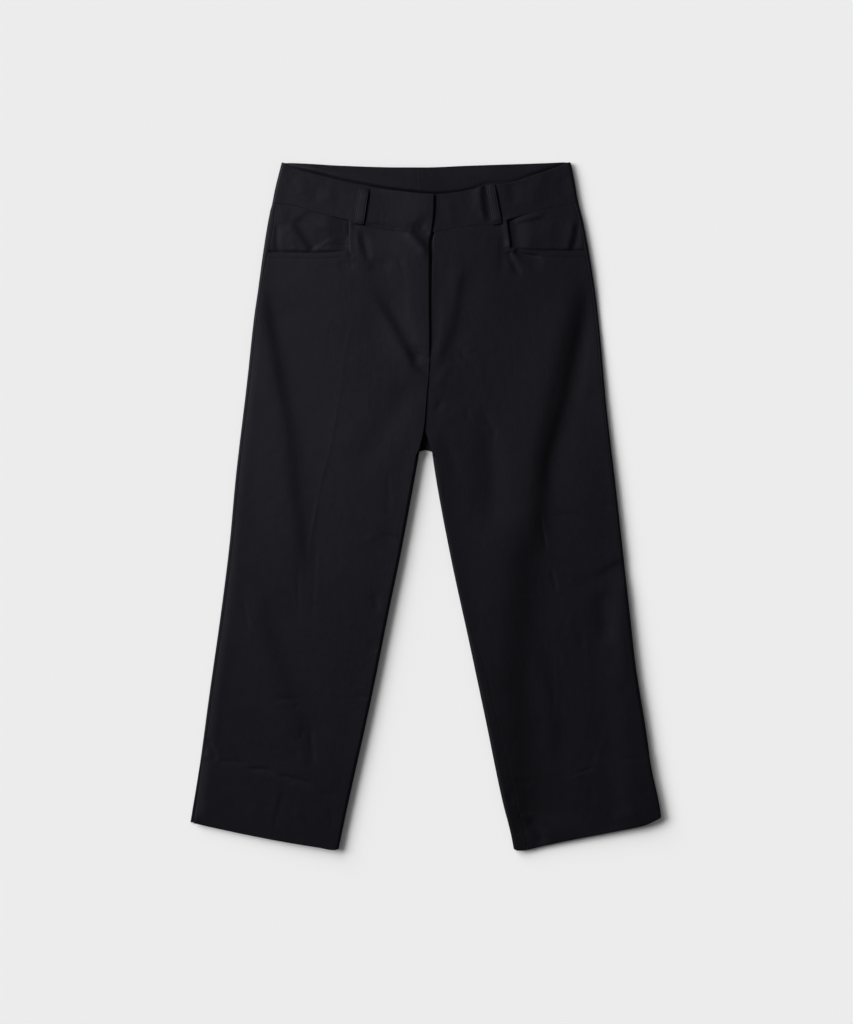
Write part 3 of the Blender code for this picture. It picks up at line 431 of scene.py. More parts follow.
        ridge([(28, 395), (34, 359)], 0.3, 8, 8),
        ridge([(154, 431), (141, 405), (131, 376)], 0.35, 9, 9, (0.2, 0.3)),
        ridge([(110, 415), (114, 385)], -0.5, 7, 7, (0.25, 0.3)),
        ridge([(172, 423), (179, 395)], -0.4, 8, 8),
        ridge([(110, 362), (131, 367), (154, 373)], 0.4, 2.4, 2.4, (0.2, 0.3)),
    ],
}
FACING_FOLDS = {
    "right": [
        ledge([(-173, 365), (-161, 348), (-148, 326)], 1.8, 4, 32, 14, (0.2, 0.03)),
        ridge([(-175, 346), (-165, 327)], 0.4, 4, 5, (0.3, 0.1)),
        ledge([(-146, 358), (-123, 354), (-98, 346)], -1.1, 3, 20, 16, (0.4, 0.02)),
        ridge([(-141, 335), (-116, 334), (-98, 333)], -0.65, 2.2, 2.4, (0.5, 0.05)),
        ridge([(-141, 331), (-115, 331)], 0.2, 1.8, 1.8),
        ridge([(-148, 333), (-142, 326)], -0.3, 3, 3, (0.3, 0.1)),
        ridge([(-191, 362), (-191, 341), (-190, 323)], -0.5, 4.5, 2, (0.25, 0.05)),
        ridge([(-182, 385), (-184, 359), (-182, 328)], 0.3, 7, 7, (0.2, 0.2)),
    ],
    "left": [
        ridge([(103, 371), (106, 351), (109, 330)], -0.9, 14, 5, (0.08, 0.1)),
        ledge([(112, 364), (133, 367), (155, 372)], -0.9, 2, 8, 12, (0.1, 0.3)),
        ledge([(192, 369), (190, 349), (183, 324)], 2.4, 3.2, 7, 12, (0.3, 0.02)),
        ridge([(154, 362), (159, 346), (163, 327)], 0.3, 9, 9, (0.2, 0.2)),
    ],
}
BACK_FOLDS = {
    "right": [
        ridge([(-110, 264), (-133, 47), (-166, -132), (-200, -324)], 0.5, 4, 4, (0.15, 0.2)),
        ridge([(-161, -68), (-123, -88), (-94, -81)], 0.6, 7, 7, (0.35, 0.35)),
        ridge([(-225, -132), (-180, -148), (-142, -135)], 0.5, 6, 6, (0.35, 0.35)),
        ridge([(-40, 111), (-72, 143), (-123, 156)], 0.7, 9, 9, (0.2, 0.4)),
        ridge([(-33, 162), (-69, 198), (-110, 207)], 0.5, 8, 8, (0.2, 0.4)),
        ridge([(-138, 354), (-133, 313)], 0.5, 6, 6, (0.2, 0.4)),
        ridge([(-72, 348), (-77, 290)], 0.6, 7, 7, (0.15, 0.4)),
        ridge([(-210, -248), (-174, -263), (-136, -258)], 0.4, 6, 6, (0.35, 0.35)),
    ],
    "left": [
        ridge([(105, 264), (131, 47), (167, -132), (204, -324)], 0.5, 4, 4, (0.15, 0.2)),
        ridge([(101, -62), (133, -84), (172, -76)], 0.6, 7, 7, (0.35, 0.35)),
        ridge([(146, -120), (182, -138), (223, -122)], 0.5, 6, 6, (0.35, 0.35)),
        ridge([(39, 106), (69, 139), (120, 152)], 0.7, 9, 9, (0.2, 0.4)),
        ridge([(34, 157), (67, 188), (103, 198)], 0.5, 8, 8, (0.2, 0.4)),
        ridge([(69, 351), (77, 296)], 0.6, 7, 7, (0.15, 0.4)),
        ridge([(138, 356), (133, 318)], 0.5, 6, 6, (0.2, 0.4)),
        ridge([(141, -235), (174, -253), (218, -245)], 0.4, 6, 6, (0.35, 0.35)),
    ],
}


def smooth(table, at):
    """Second column of a table at places in its first, on a curve through its rows that never overshoots."""
    knots, values = np.array(sorted(table), float).T
    spans = np.diff(knots)
    slopes = np.diff(values) / spans
    bends = slopes[:-1] * slopes[1:]
    tangents = np.zeros(len(knots))
    tangents[0] = slopes[0]
    tangents[-1] = slopes[-1]
    turning = bends > 0
    tangents[1:-1][turning] = 2 * bends[turning] / (slopes[:-1] + slopes[1:])[turning]
    at = np.clip(np.asarray(at, float), knots[0], knots[-1])
    left = np.clip(np.searchsorted(knots, at) - 1, 0, len(spans) - 1)
    share = (at - knots[left]) / spans[left]
    rise = values[left + 1] - values[left]
    lead = share * (1 - share) ** 2 * tangents[left] - share**2 * (1 - share) * tangents[left + 1]
    return values[left] + share**2 * (3 - 2 * share) * rise + spans[left] * lead


def ease(share):
    """0 below 0, 1 above 1, and a soft step between."""
    share = np.clip(share, 0.0, 1.0)
    return share**2 * (3 - 2 * share)


def inward(side):
    """+1 where the middle of the garment is toward +X of the side, and -1 where it is toward -X."""
    return 1 if side == "right" else -1


def curve(points, spacing=4.0):
    """Points of a smooth line through a path."""
    points = np.array(points, float)
    runs = np.concatenate([[0.0], np.cumsum(np.hypot(*np.diff(points, axis=0).T))])
    at = np.linspace(0, runs[-1], max(2, int(runs[-1] / spacing) + 1))
    if len(points) == 2:
        return points[0] + at[:, None] / runs[-1] * (points[1] - points[0])
    return np.stack([smooth(list(zip(runs, column)), at) for column in points.T], axis=1)


def beside(points, x, y):
    """For places near a line: distance from it, above 0 on its left hand, and share of its length."""
    starts = points[:-1]
    steps = np.diff(points, axis=0)
    lengths = np.hypot(*steps.T)
    runs = np.concatenate([[0.0], np.cumsum(lengths)])
    signed = np.empty(len(x))
    along = np.empty(len(x))
    for first in range(0, len(x), CHUNK):
        part = slice(first, first + CHUNK)
        dx = x[part, None] - starts[:, 0]
        dy = y[part, None] - starts[:, 1]
        share = np.clip((dx * steps[:, 0] + dy * steps[:, 1]) / lengths**2, 0.0, 1.0)
        gap = np.hypot(dx - share * steps[:, 0], dy - share * steps[:, 1])
        nearest = np.argmin(gap, axis=1)
        row = np.arange(len(nearest))
        turn = steps[nearest, 0] * dy[row, nearest] - steps[nearest, 1] * dx[row, nearest]
        signed[part] = np.where(turn > 0, 1.0, -1.0) * gap[row, nearest]
        along[part] = (runs[nearest] + share[row, nearest] * lengths[nearest]) / runs[-1]
    return signed, along


def fold_lift(x, y, fold):
    """Height that one ridge or ledge adds."""
    lift = np.zeros(np.shape(x))
    if "points" not in fold:
        fold["points"] = curve(fold["path"])
    points = fold["points"]
    reach = fold["reach"]
    far = FOLD_FAR * max(reach)
    low = points.min(axis=0) - far
    high = points.max(axis=0) + far
    near = (x > low[0]) & (x < high[0]) & (y > low[1]) & (y < high[1])
    if not near.any():
        return lift
    signed, along = beside(points, x[near], y[near])
    start_fade, end_fade = fold["ends"]
    fade = ease(along / max(start_fade, 1e-6)) * ease((1 - along) / max(end_fade, 1e-6))
    window = np.exp(-((signed / np.where(signed > 0, reach[0], reach[1])) ** 2))
    if "drop" in fold:
        lift[near] = -fold["drop"] / 2 * np.tanh(signed / fold["width"]) * window * fade
    else:
        lift[near] = fold["height"] * window * fade
    return lift


def top_height(side, x, y, folds=None):
    """Height of the laid garment's upper surface."""
    shape = SIDES[side]
    x, y = np.broadcast_arrays(np.asarray(x, float), np.asarray(y, float))
    rest = smooth(REST_HEIGHT, y)
    from_outer = np.abs(x - smooth(shape["outer"], y))
    from_inner = np.abs(x - smooth(shape["inner"], y))
    from_centre = np.abs(x - smooth(shape["front_edge"], y))
    in_leg = ease((APEX_Y - y) / (APEX_Y - FORK_Y))
    near_edge = np.exp(-((from_outer / ROLL_WIDTH) ** 2)) + in_leg * np.exp(-((from_inner / ROLL_WIDTH) ** 2))
    flat, fade = shape["centre_reach"]
    near_centre = (1 - in_leg) * (1 - ease((from_centre - flat) / fade))
    height = rest + (smooth(EDGE_HEIGHT, y) - rest) * np.minimum(near_edge, 1.0)
    height = height + smooth(shape["centre_rise"], y) * near_centre
    inner_edge = smooth(shape["front_edge"], y) + in_leg * (smooth(shape["inner"], y)
                                                            - smooth(shape["front_edge"], y))
    across = ease(from_outer / np.abs(inner_edge - smooth(shape["outer"], y)))
    height = height + (1 - across) * smooth(shape["outer_lift"], y) + across * smooth(shape["inner_lift"], y)
    for fold in FOLDS[side] if folds is None else folds:
        height = height + fold_lift(x, y, fold)
    return np.maximum(height, LOWEST_TOP)


def blend(upper, lower, share):
    """A row's y at an x, part of the way from one guide to the next."""
    return lambda x: (1 - share) * smooth(upper, x) + share * smooth(lower, x)


def guide_rows(guides):
    """Functions that give y at an x for each row. A guide is a table (x, y) and the rows down to it."""
    rows = []
    for (upper, _), (lower, count) in zip(guides, guides[1:]):
        rows += [blend(upper, lower, step / count) for step in range(count)]
    rows.append(blend(lower, lower, 1.0))
    return rows


def lay_rows(guides, columns_at):
    """Grid of (x, y) where the rows of the guides meet the columns, whose x columns_at gives for a y."""
    grid = []
    for row_y in guide_rows(guides):
        x = columns_at(row_y(np.zeros(1)))
        for _ in range(SETTLE_STEPS):
            y = row_y(x)
            x = columns_at(y)
        grid.append(np.stack([x, y], axis=-1))
    return np.array(grid)


def settle(edge_x, row_y):
    """Where a row meets an edge: edge_x gives x at a y, and row_y gives y at an x."""
    y = float(row_y(0.0))
    for _ in range(SETTLE_STEPS):
        x = float(edge_x(y))
        y = float(row_y(x))
    return x, y


def side_seam(side, y):
    """Where the side seam lies, a little inside the folded outer edge."""
    shape = SIDES[side]
    return smooth(shape["outer"], y) + inward(side) * smooth(shape["outer_inset"], y)


def leg_seam(side, y):
    """Where the inside leg seam lies, inside the folded inner edge."""
    shape = SIDES[side]
    return smooth(shape["inner"], y) - inward(side) * smooth(shape["inner_inset"], y)


def level(y):
    """A guide straight across the garment."""
    return [(-ACROSS, y), (ACROSS, y)]


def lifted(table, rise):
    """A table (x, y) moved along Y."""
    return [(x, y + rise) for x, y in table]


def bordered(first, last, guides):
    """Guides with rows close together inside the first border and inside the last one."""
    steps = EDGE_STEPS[1:]
    upper = [(first, 0)] + [(lifted(first, -step), 1) for step in steps]
    lower = [(lifted(last, step), 1) for step in reversed(steps)]
    lower[0] = (lower[0][0], guides[-1][1])
    return upper + guides[:-1] + lower + [(last, 1)]


def spread(anchors, counts, toward):
    """Columns between anchors, which give x at a y: close together at each anchor, and even between.

    counts has the even columns of each stretch, and toward is the sign of X from first anchor to last.
    """
    reach = EDGE_STEPS[-1]
    stations = []
    for stretch, count in enumerate(counts):
        skip = 0 if stretch == 0 else 1
        stations += [(stretch, 0.0, step) for step in EDGE_STEPS[skip:]]
        stations += [(stretch, k / count, reach * (1 - 2 * k / count)) for k in range(1, count)]
        stations += [(stretch, 1.0, -step) for step in reversed(EDGE_STEPS)]
    stretch, share, offset = np.array(stations).T
    stretch = stretch.astype(int)
    column = np.arange(len(stretch))

    def columns_at(y):
        y = np.broadcast_to(y, len(column))
        x = np.stack([anchor(y) for anchor in anchors])
        start, end = x[stretch, column], x[stretch + 1, column]
        return start + share * (end - start) + toward * offset

    return columns_at


def thinning(distance, edge=FREE_EDGE):
    """Share of half the wall that a rounded border takes away at a distance from the border."""
    reach, depth = edge
    share = np.clip(distance / reach, 0.0, 1.0)
    return depth * (1 - np.sqrt(1 - (1 - share) ** 2))


def with_height(grid, height):
    """Grid of (x, y) with a height at each point."""
    return np.dstack([grid, np.broadcast_to(height, grid.shape[:2])])


def two_faces(grid, height, wall, borders):
    """Upper and under points of a flat-lying panel, with (distance, edge) for each of its borders."""
    shape = grid.shape[:2]
    taken = np.zeros(shape)
    for distance, edge in borders:
        taken = np.maximum(taken, thinning(distance, edge))
    less = (np.broadcast_to(wall, shape) / 2 - EDGE_LEAST) * taken
    return with_height(grid, height - less), with_height(grid, height - wall + less)


def new_object(name, points, faces, material):
    """Object in the scene with a mesh of points in metres."""
    data = bpy.data.meshes.new(name)
    data.from_pydata(points, [], faces)
    data.materials.append(material)
    piece = bpy.data.objects.new(name, data)
    bpy.context.scene.collection.objects.link(piece)
    return piece


def mesh_piece(name, points, faces, material):
    """Smooth-shaded mesh from points in millimetres, with its faces turned outward."""
    points = np.asarray(points, float)
    faces = np.asarray(faces)
    used, again = np.unique(faces, return_inverse=True)
    points = points[used]
    faces = again.reshape(faces.shape)
    first, second, third = (points[faces[:, k]] for k in (0, 1, 2))
    volume = np.einsum("ij,ij->i", first, np.cross(second, third)).sum()
    if faces.shape[1] == 4:
        fourth = points[faces[:, 3]]
        volume += np.einsum("ij,ij->i", first, np.cross(third, fourth)).sum()
    if volume < 0:
        faces = faces[:, ::-1]
    piece = new_object(name, (points * MM).tolist(), faces.tolist(), material)
    piece.data.shade_smooth()
    piece.data.set_sharp_from_angle(angle=math.radians(SHARP_ANGLE))
    return piece


def wall_piece(name, upper, under, material, keep=None):
    """Closed cloth wall between two grids of points, less the cells that keep leaves out."""
    rows, columns = upper.shape[:2]
    count = rows * columns
    index = np.arange(count).reshape(rows, columns)
    if keep is None:
        keep = np.ones((rows - 1, columns - 1), bool)
    ring = np.stack([index[:-1, :-1], index[:-1, 1:], index[1:, 1:], index[1:, :-1]], axis=-1)
    faces = [ring[keep], ring[keep][:, ::-1] + count]
    padded = np.pad(keep, 1)
    beside = [padded[:-2, 1:-1], padded[1:-1, 2:], padded[2:, 1:-1], padded[1:-1, :-2]]
    for edge, neighbour in enumerate(beside):
        rim = keep & ~neighbour
        a, b = ring[rim][:, edge], ring[rim][:, (edge + 1) % 4]
        faces.append(np.stack([b, a, a + count, b + count], axis=-1))
    points = np.concatenate([upper.reshape(-1, 3), under.reshape(-1, 3)])
    return mesh_piece(name, points, np.concatenate(faces), material)


def leg_guides(side, first, hem_lift):
    """Guides down a leg, with the rows between them."""
    shape = SIDES[side]
    hem_line = shape["hem_line"]
    mouth = [(lifted(shape["pocket"], -step), 1) for step in MOUTH_STEPS]
    lines = dict(apex=level(APEX_Y), fork=level(FORK_Y), roll=level(FORK_Y - FORK_FADE),
                 vent=lifted(hem_line, VENT_FADE), hem_line=hem_line, hem_step=lifted(hem_line, -HEM_STEP))
    hem = lifted(shape["hem"], hem_lift)
    guides = [(shape["pocket"], LEG_ROWS["pocket"])] + mouth
    guides += [(line, LEG_ROWS[name]) for name, line in lines.items()]
    return bordered(first, hem, guides + [(hem, LEG_ROWS["hem"])])


def hem_wall(side, x, y):
    """Wall of a leg at a point, thicker in the turned hem."""
    depth = (smooth(SIDES[side]["hem_line"], x) - y) / HEM_STEP
    return CLOTH + (HEM_WALL - CLOTH) * ease(depth)


def front_anchors(side):
    """Borders of a front and its crease, as functions that give x at a y."""
    shape = SIDES[side]
    toward_middle = inward(side)

    def inner(y):
        edge = np.where(y > FORK_Y, smooth(shape["front_edge"], y), leg_seam(side, y))
        return edge - toward_middle * SEAM_GAP / 2

    def outer(y):
        vent = smooth(shape["outer"], y) + toward_middle * smooth(shape["vent_inset"], y)
        edge = np.where(y < shape["vent_inset"][0][0], vent, side_seam(side, y))
        return edge + toward_middle * SEAM_GAP / 2

    return inner, lambda y: smooth(shape["crease"], y), outer


def mouth_distance(side, x, y):
    """Distance from the L-shaped pocket mouth, on the front's side of it."""
    shape = SIDES[side]
    beside = np.maximum(inward(side) * (x - smooth(shape["crease"], y)), 0.0)
    below = np.maximum(smooth(shape["pocket"], x) - y, 0.0)
    return np.hypot(beside, below)


def panel_height(side, x, y):
    """Height of a front panel, with the grooves of its topstitching."""
    depth, half = THREAD_GROOVE
    groove = np.exp(-(((mouth_distance(side, x, y) - MOUTH_STITCH) / half) ** 2))
    return top_height(side, x, y) - depth * groove


def front_panel(side):
    """Front of one leg, with the L-shaped pocket mouth cut out of its upper outer corner."""
    shape = SIDES[side]
    inner, crease, outer = front_anchors(side)
    first = lifted(BAND_SEAM, -BAND_GAP / 2)
    columns_at = spread([inner, crease, outer], FRONT_COLUMNS, -inward(side))
    grid = lay_rows(leg_guides(side, first, 0.0), columns_at)
    x, y = grid[..., 0], grid[..., 1]
    from_mouth = mouth_distance(side, x, y)
    at_fly = (y > FLY_END) & (y < FLY_TOP)
    at_vent = y < shape["vent_inset"][0][0]
    borders = [(np.where(at_fly, np.abs(x - inner(y)), FAR), FREE_EDGE), (np.abs(x - inner(y)), SEAM_EDGE),
               (np.where(at_vent, np.abs(x - outer(y)), FAR), VENT_EDGE), (np.abs(x - outer(y)), SEAM_EDGE),
               (smooth(first, x) - y, BAND_EDGE), (y - smooth(shape["hem"], x), FREE_EDGE),
               (from_mouth, FREE_EDGE)]
    height = panel_height(side, x, y)
    upper, under = two_faces(grid, height, hem_wall(side, x, y), borders)
    keep = np.ones((grid.shape[0] - 1, grid.shape[1] - 1), bool)
    cut_rows = len(EDGE_STEPS) - 1 + LEG_ROWS["pocket"]
    cut_column = 2 * len(EDGE_STEPS) + FRONT_COLUMNS[0] - 2
    keep[:cut_rows, cut_column:] = False
    return wall_piece(f"front_{side}_panel", upper, under, GABARDINE, keep)


def pocket_facing(side):
    """Hip piece behind a pocket mouth: flush with the band and side seam, and lapped under the front."""
    shape = SIDES[side]
    toward_middle = inward(side)

    def lapped(y):
        return smooth(shape["crease"], y) + toward_middle * FACING_LAP

    def outer(y):
        return side_seam(side, y) + toward_middle * SEAM_GAP / 2

    first = lifted(BAND_SEAM, -BAND_GAP / 2)
    last = lifted(shape["pocket"], -FACING_LAP)
    guides = bordered(first, last, [(last, FACING_ROWS)])
    grid = lay_rows(guides, spread([lapped, outer], (FACING_COLUMNS,), -toward_middle))
    x, y = grid[..., 0], grid[..., 1]
    over_mouth = y - smooth(shape["pocket"], x)
    beside_mouth = toward_middle * (smooth(shape["crease"], y) - x)
    inside = np.minimum(over_mouth, beside_mouth)
    height = top_height(side, x, y, FOLDS[side] + FACING_FOLDS[side])
    front = top_height(side, x, y)
    dips = [sum(fall * (1 - ease(distance / width)) for fall, width in table)
            for distance, table in ((over_mouth, MOUTH_DIP), (beside_mouth, MOUTH_SIDE_DIP))]
    height = height - np.maximum(*dips)
    height = np.where(inside < LAP_START, np.minimum(height, front - LAP_DROP), height)
    height = np.maximum(height, LOWEST_TOP)
    borders = [(np.abs(x - lapped(y)), FREE_EDGE), (np.abs(x - outer(y)), SEAM_EDGE),
               (smooth(first, x) - y, BAND_EDGE), (y - smooth(last, x), FREE_EDGE)]
    upper, under = two_faces(grid, height, CLOTH, borders)
    return wall_piece(f"pocket_facing_{side}_cloth", upper, under, GABARDINE)


def rolled_edge(side, edge_x, seam_x, under_y, over_y, wall, curl, rise=0.0, edge=SEAM_EDGE):
    """Outer and inner points of an edge that rolls up from the ground and over to a seam on top."""
    toward = 1 if seam_x > edge_x else -1
    top_x = edge_x + toward * ROLL_TOP
    radius = float(top_height(side, top_x, over_y(top_x)) + rise) / 2
    turn = math.pi * curl
    flap = max(abs(seam_x - edge_x) - radius, 0.1) * float(ease((curl - CURL_START) / (1 - CURL_START)))
    straight = ROLL_STRIP - radius * math.sin(min(turn, math.pi / 2))
    length = straight + radius * turn + flap
    near = length - np.array(EDGE_STEPS[::-1])
    runs = np.concatenate([np.linspace(0, near[0], ROLL_STEPS)[:-1], near])
    angle = np.minimum(np.maximum(runs - straight, 0.0) / radius, turn)
    on_top = np.maximum(runs - straight - radius * turn, 0.0)
    x = edge_x + toward * (ROLL_STRIP - np.minimum(runs, straight) - radius * np.sin(angle) + on_top)
    share = runs / length
    y = (1 - share) * under_y(x) + share * over_y(x)
    z = radius * (1 - np.cos(angle))
    z = np.where(on_top > 0, top_height(side, x, y) + rise, z)
    less = (wall / 2 - EDGE_LEAST) * thinning(length - runs, edge)
    normal = np.stack([-toward * np.sin(angle), np.zeros_like(angle), -np.cos(angle)], axis=-1)
    surface = np.stack([x, y, z], axis=-1)
    return surface - normal * less[:, None], surface - normal * (wall - less)[:, None]


def back_height(side, x, y):
    """Height of the underside of the back above the ground, in its creases."""
    return np.maximum(sum(fold_lift(x, y, fold) for fold in BACK_FOLDS[side]), 0.0)


def back_panel(side):
    """Back of one leg: flat on the ground, rolled up round the side and inside leg to the seams on top."""
    shape = SIDES[side]
    half_gap = inward(side) * SEAM_GAP / 2
    under_rows = guide_rows(leg_guides(side, lifted(BACK_SEAM, -SEAM_GAP / 2), BACK_HEM_LIFT))
    over_rows = guide_rows(leg_guides(side, lifted(BAND_SEAM, -BAND_GAP / 2), 0.0))
    outer_rows = []
    inner_rows = []
    for under_y, over_y in zip(under_rows, over_rows):
        side_x, side_y = settle(lambda y: smooth(shape["outer"], y), over_y)
        side_end, _ = settle(lambda y: side_seam(side, y) - half_gap, over_y)
        side_curl = float(ease((side_y - smooth(shape["hem_line"], side_x)) / VENT_FADE))
        leg_x, leg_y = settle(lambda y: smooth(shape["inner"], y), over_y)
        leg_end, _ = settle(lambda y: leg_seam(side, y) + half_gap, over_y)
        leg_curl = float(ease((FORK_Y - leg_y) / FORK_FADE))
        if leg_curl == 0:
            leg_x, _ = settle(lambda y: smooth(CENTRE_BACK, y) - half_gap, under_y)
            leg_end = leg_x - inward(side)
        wall = float(hem_wall(side, side_x, side_y))
        side_outer, side_inner = rolled_edge(side, side_x, side_end, under_y, over_y, wall, side_curl)
        leg_outer, leg_inner = rolled_edge(side, leg_x, leg_end, under_y, over_y, wall, leg_curl)
        flat_x = np.linspace(leg_outer[0, 0], side_outer[0, 0], BACK_FLAT_COLUMNS + 1)[1:-1]
        flat = np.stack([flat_x, under_y(flat_x), back_height(side, flat_x, under_y(flat_x))], axis=-1)
        outer_rows.append(np.concatenate([leg_outer[::-1], flat, side_outer]))
        inner_rows.append(np.concatenate([leg_inner[::-1], flat + np.array([0, 0, wall]), side_inner]))
    return wall_piece(f"back_{side}_panel", np.array(outer_rows), np.array(inner_rows), GABARDINE)


def band_lift(x):
    """Height of the back band's underside, which rises over the belt loops under it."""
    half, slope = BACK_LOOP_FADE
    near = [1 - ease((np.abs(x - loop_x) - half) / slope) for loop_x in BACK_LOOP_X.values()]
    return (LOOP_WALL + SEAM_GAP) * np.maximum(*near)


def back_bulge(x, y):
    """Rise of the back band where it shows above the front one, falling steeply behind the front's edge."""
    most, share, slope = BULGE
    edge = smooth(FRONT_TOP, x)
    shown = np.maximum(smooth(BACK_TOP, x) - edge, 0.1)
    above = y - edge
    rise = np.minimum(most, share * shown) * ease((above + 1.0) / slope) * smooth(BULGE_SIDE, x)
    return rise * (1 - 0.5 * ease((above - 0.5 * shown) / (0.5 * shown)))


def waistband(side):
    """Half of the waistband, from centre front over the side fold and under to centre back."""
    shape = SIDES[side]
    toward_middle = inward(side)
    up = np.array([0, 0, BAND_WALL])
    rows = EDGE_STEPS
    shares = [step / BAND_DEPTH for step in rows]
    shares += list(np.linspace(shares[-1], 1 - shares[-1], BAND_ROWS)[1:-1])
    shares += [1 - step / BAND_DEPTH for step in reversed(rows)]
    end_steps = np.array(EDGE_STEPS[::-1])
    outer_rows = []
    inner_rows = []
    for share in shares:

        def front_y(x):
            return (1 - share) * smooth(FRONT_TOP, x) + share * smooth(lifted(BAND_SEAM, BAND_GAP / 2), x)

        def back_y(x):
            return (1 - share) * smooth(BACK_TOP, x) + share * smooth(lifted(BACK_SEAM, SEAM_GAP / 2), x)

        side_x, _ = settle(lambda y: smooth(shape["outer"], y), front_y)
        roll_end = side_x + toward_middle * BAND_ROLL
        roll = rolled_edge(side, side_x, roll_end, back_y, front_y, BAND_WALL, 1.0, BAND_STEP)
        roll_outer, roll_inner = (face[:-BAND_ROLL_SPARE] for face in roll)
        end_x, _ = settle(lambda y: smooth(shape["front_edge"], y), front_y)
        if side == "left":
            end_x = UNDERLAP_END
        front_x = np.linspace(roll_end, end_x - toward_middle * end_steps[0], BAND_FRONT_COLUMNS)[:-1]
        front_x = np.concatenate([front_x, end_x - toward_middle * end_steps])
        front_z = top_height(side, front_x, front_y(front_x)) + BAND_STEP
        if side == "left":
            high, low = UNDERLAP_STEP
            climb = ease((front_x - low) / (high - low))
            front_z = UNDERLAP_TOP + climb * (front_z - UNDERLAP_TOP)
        front = np.stack([front_x, front_y(front_x), front_z], axis=-1)
        centre_x, _ = settle(lambda y: smooth(CENTRE_BACK, y) - toward_middle * CENTRE_GAP / 2, back_y)
        back_end = centre_x - toward_middle * end_steps
        back_x = np.linspace(roll_outer[0, 0], back_end[0], BAND_BACK_COLUMNS)[1:-1]
        back_x = np.concatenate([back_x, back_end])
        back_z = np.maximum(band_lift(back_x), back_bulge(back_x, back_y(back_x)))
        back = np.stack([back_x, back_y(back_x), back_z], axis=-1)
        outer = np.concatenate([back[::-1], roll_outer, front])
        inner = np.concatenate([back[::-1] + up, roll_inner, front - up])
        ends = (thinning(share * BAND_DEPTH), thinning((1 - share) * BAND_DEPTH, BAND_EDGE))
        taken = np.full(len(outer), max(ends))
        at_back, at_front = taken[: len(back)], taken[-len(front):]
        np.maximum(at_back, thinning(np.abs(back_x[::-1] - centre_x), BAND_EDGE), out=at_back)
        np.maximum(at_front, thinning(np.abs(front_x - end_x)), out=at_front)
        less = (0.5 - EDGE_LEAST / BAND_WALL) * taken[:, None]
        outer_rows.append(outer + less * (inner - outer))
        inner_rows.append(inner + less * (outer - inner))
    return wall_piece(f"waistband_{side}_cloth", np.array(outer_rows), np.array(inner_rows), GABARDINE)


def strip(upper, lower, width, rows, columns):
    """Points of a straight strip between two places, with their shares along and across it."""
    along = np.linspace(0, 1, rows + 1)[:, None]
    across = np.linspace(-1, 1, columns + 1)[None, :]
    upper, lower = np.array(upper, float), np.array(lower, float)
    run = lower - upper
    aside = np.array([-run[1], run[0]]) / np.hypot(*run) * width / 2
    grid = upper + along[..., None] * run + across[..., None] * aside
    return grid, along, across


def loop_stitches(upper, lower, width):
    """Stitches down both edges of a loop and the bar tacks across its ends."""
    run = (lower - upper) / np.hypot(*(lower - upper))
    aside = np.array([-run[1], run[0]])
    stitches = []
    for hand in (-1, 1):
        offset = hand * (width / 2 - LOOP_STITCH) * aside
        ends = [upper + offset + run * LOOP_STITCH_END, lower + offset - run * LOOP_STITCH_END]
        stitches += stitch_run(ends)
    for end, way in ((upper, 1), (lower, -1)):
        stitches += bar_tack(end + way * run * LOOP_TACK, aside, width - LOOP_TACK_INSET)
    return stitches


def front_belt_loop(side):
    """Loop over the front band, sewn down at its ends and standing off between them."""
    upper, lower = np.array(FRONT_LOOPS[side])
    width = FRONT_LOOP_WIDTH[side]
    grid, along, across = strip(upper, lower, width, LOOP_ROWS, LOOP_COLUMNS)
    length = np.hypot(*(lower - upper))

    def base_at(x, y, along, across):
        tilt = 1 - LOOP_TILT[side] * (1 - across) / 2
        arch = LOOP_ARCH * ease(along / LOOP_RISE) * ease((1 - along) / LOOP_RISE) * tilt
        return top_height(side, x, y) + BAND_STEP + LOOP_SEAT + arch

    def loop_top(x, y):
        run = lower - upper
        along = ((x - upper[0]) * run[0] + (y - upper[1]) * run[1]) / length**2
        across = ((y - upper[1]) * run[0] - (x - upper[0]) * run[1]) / length / (width / 2)
        return base_at(x, y, along, across) + LOOP_WALL

    base = base_at(grid[..., 0], grid[..., 1], along, across)
    from_edge = (1 - np.abs(across)) * width / 2
    distance = np.minimum(np.minimum(along, 1 - along) * length, from_edge)
    less = (LOOP_WALL / 2 - EDGE_LEAST) * thinning(distance, LOOP_EDGE)
    depth, half = LOOP_GROOVE
    stitched = np.exp(-(((from_edge - LOOP_STITCH) / half) ** 2))
    top = base + LOOP_WALL + LOOP_CROWN * (1 - across**2) - less - depth * stitched
    name = f"belt_loop_front_{side}"
    cloth = wall_piece(f"{name}_cloth", with_height(grid, top), with_height(grid, base + less), GABARDINE)
    return cloth, threads(f"{name}_stitches", loop_stitches(upper, lower, width), loop_top)


def back_belt_loop(side):
    """Loop under the back band, flat on the ground."""
    x = BACK_LOOP_X[side]
    lower_y = float(smooth(BACK_SEAM, x)) + SEAM_GAP + PLY_GAP
    upper_y = float(smooth(BACK_TOP, x))
    upper, lower = np.array([x, upper_y]), np.array([x, lower_y])
    grid, along, across = strip(upper, lower, LOOP_WIDTH, LOOP_ROWS, LOOP_COLUMNS)
    from_end = np.minimum(along, 1 - along) * (upper_y - lower_y)
    from_edge = (1 - np.abs(across)) * LOOP_WIDTH / 2
    less = (LOOP_WALL / 2 - EDGE_LEAST) * thinning(np.minimum(from_end, from_edge))
    name = f"belt_loop_back_{side}"
    top, base = with_height(grid, LOOP_WALL - less), with_height(grid, less)
    cloth = wall_piece(f"{name}_cloth", top, base, GABARDINE)
    thread = threads(f"{name}_stitches", loop_stitches(upper, lower, LOOP_WIDTH),
                     lambda x, y: np.full(np.shape(x), UNDER_STITCH), below=True)
    return cloth, thread


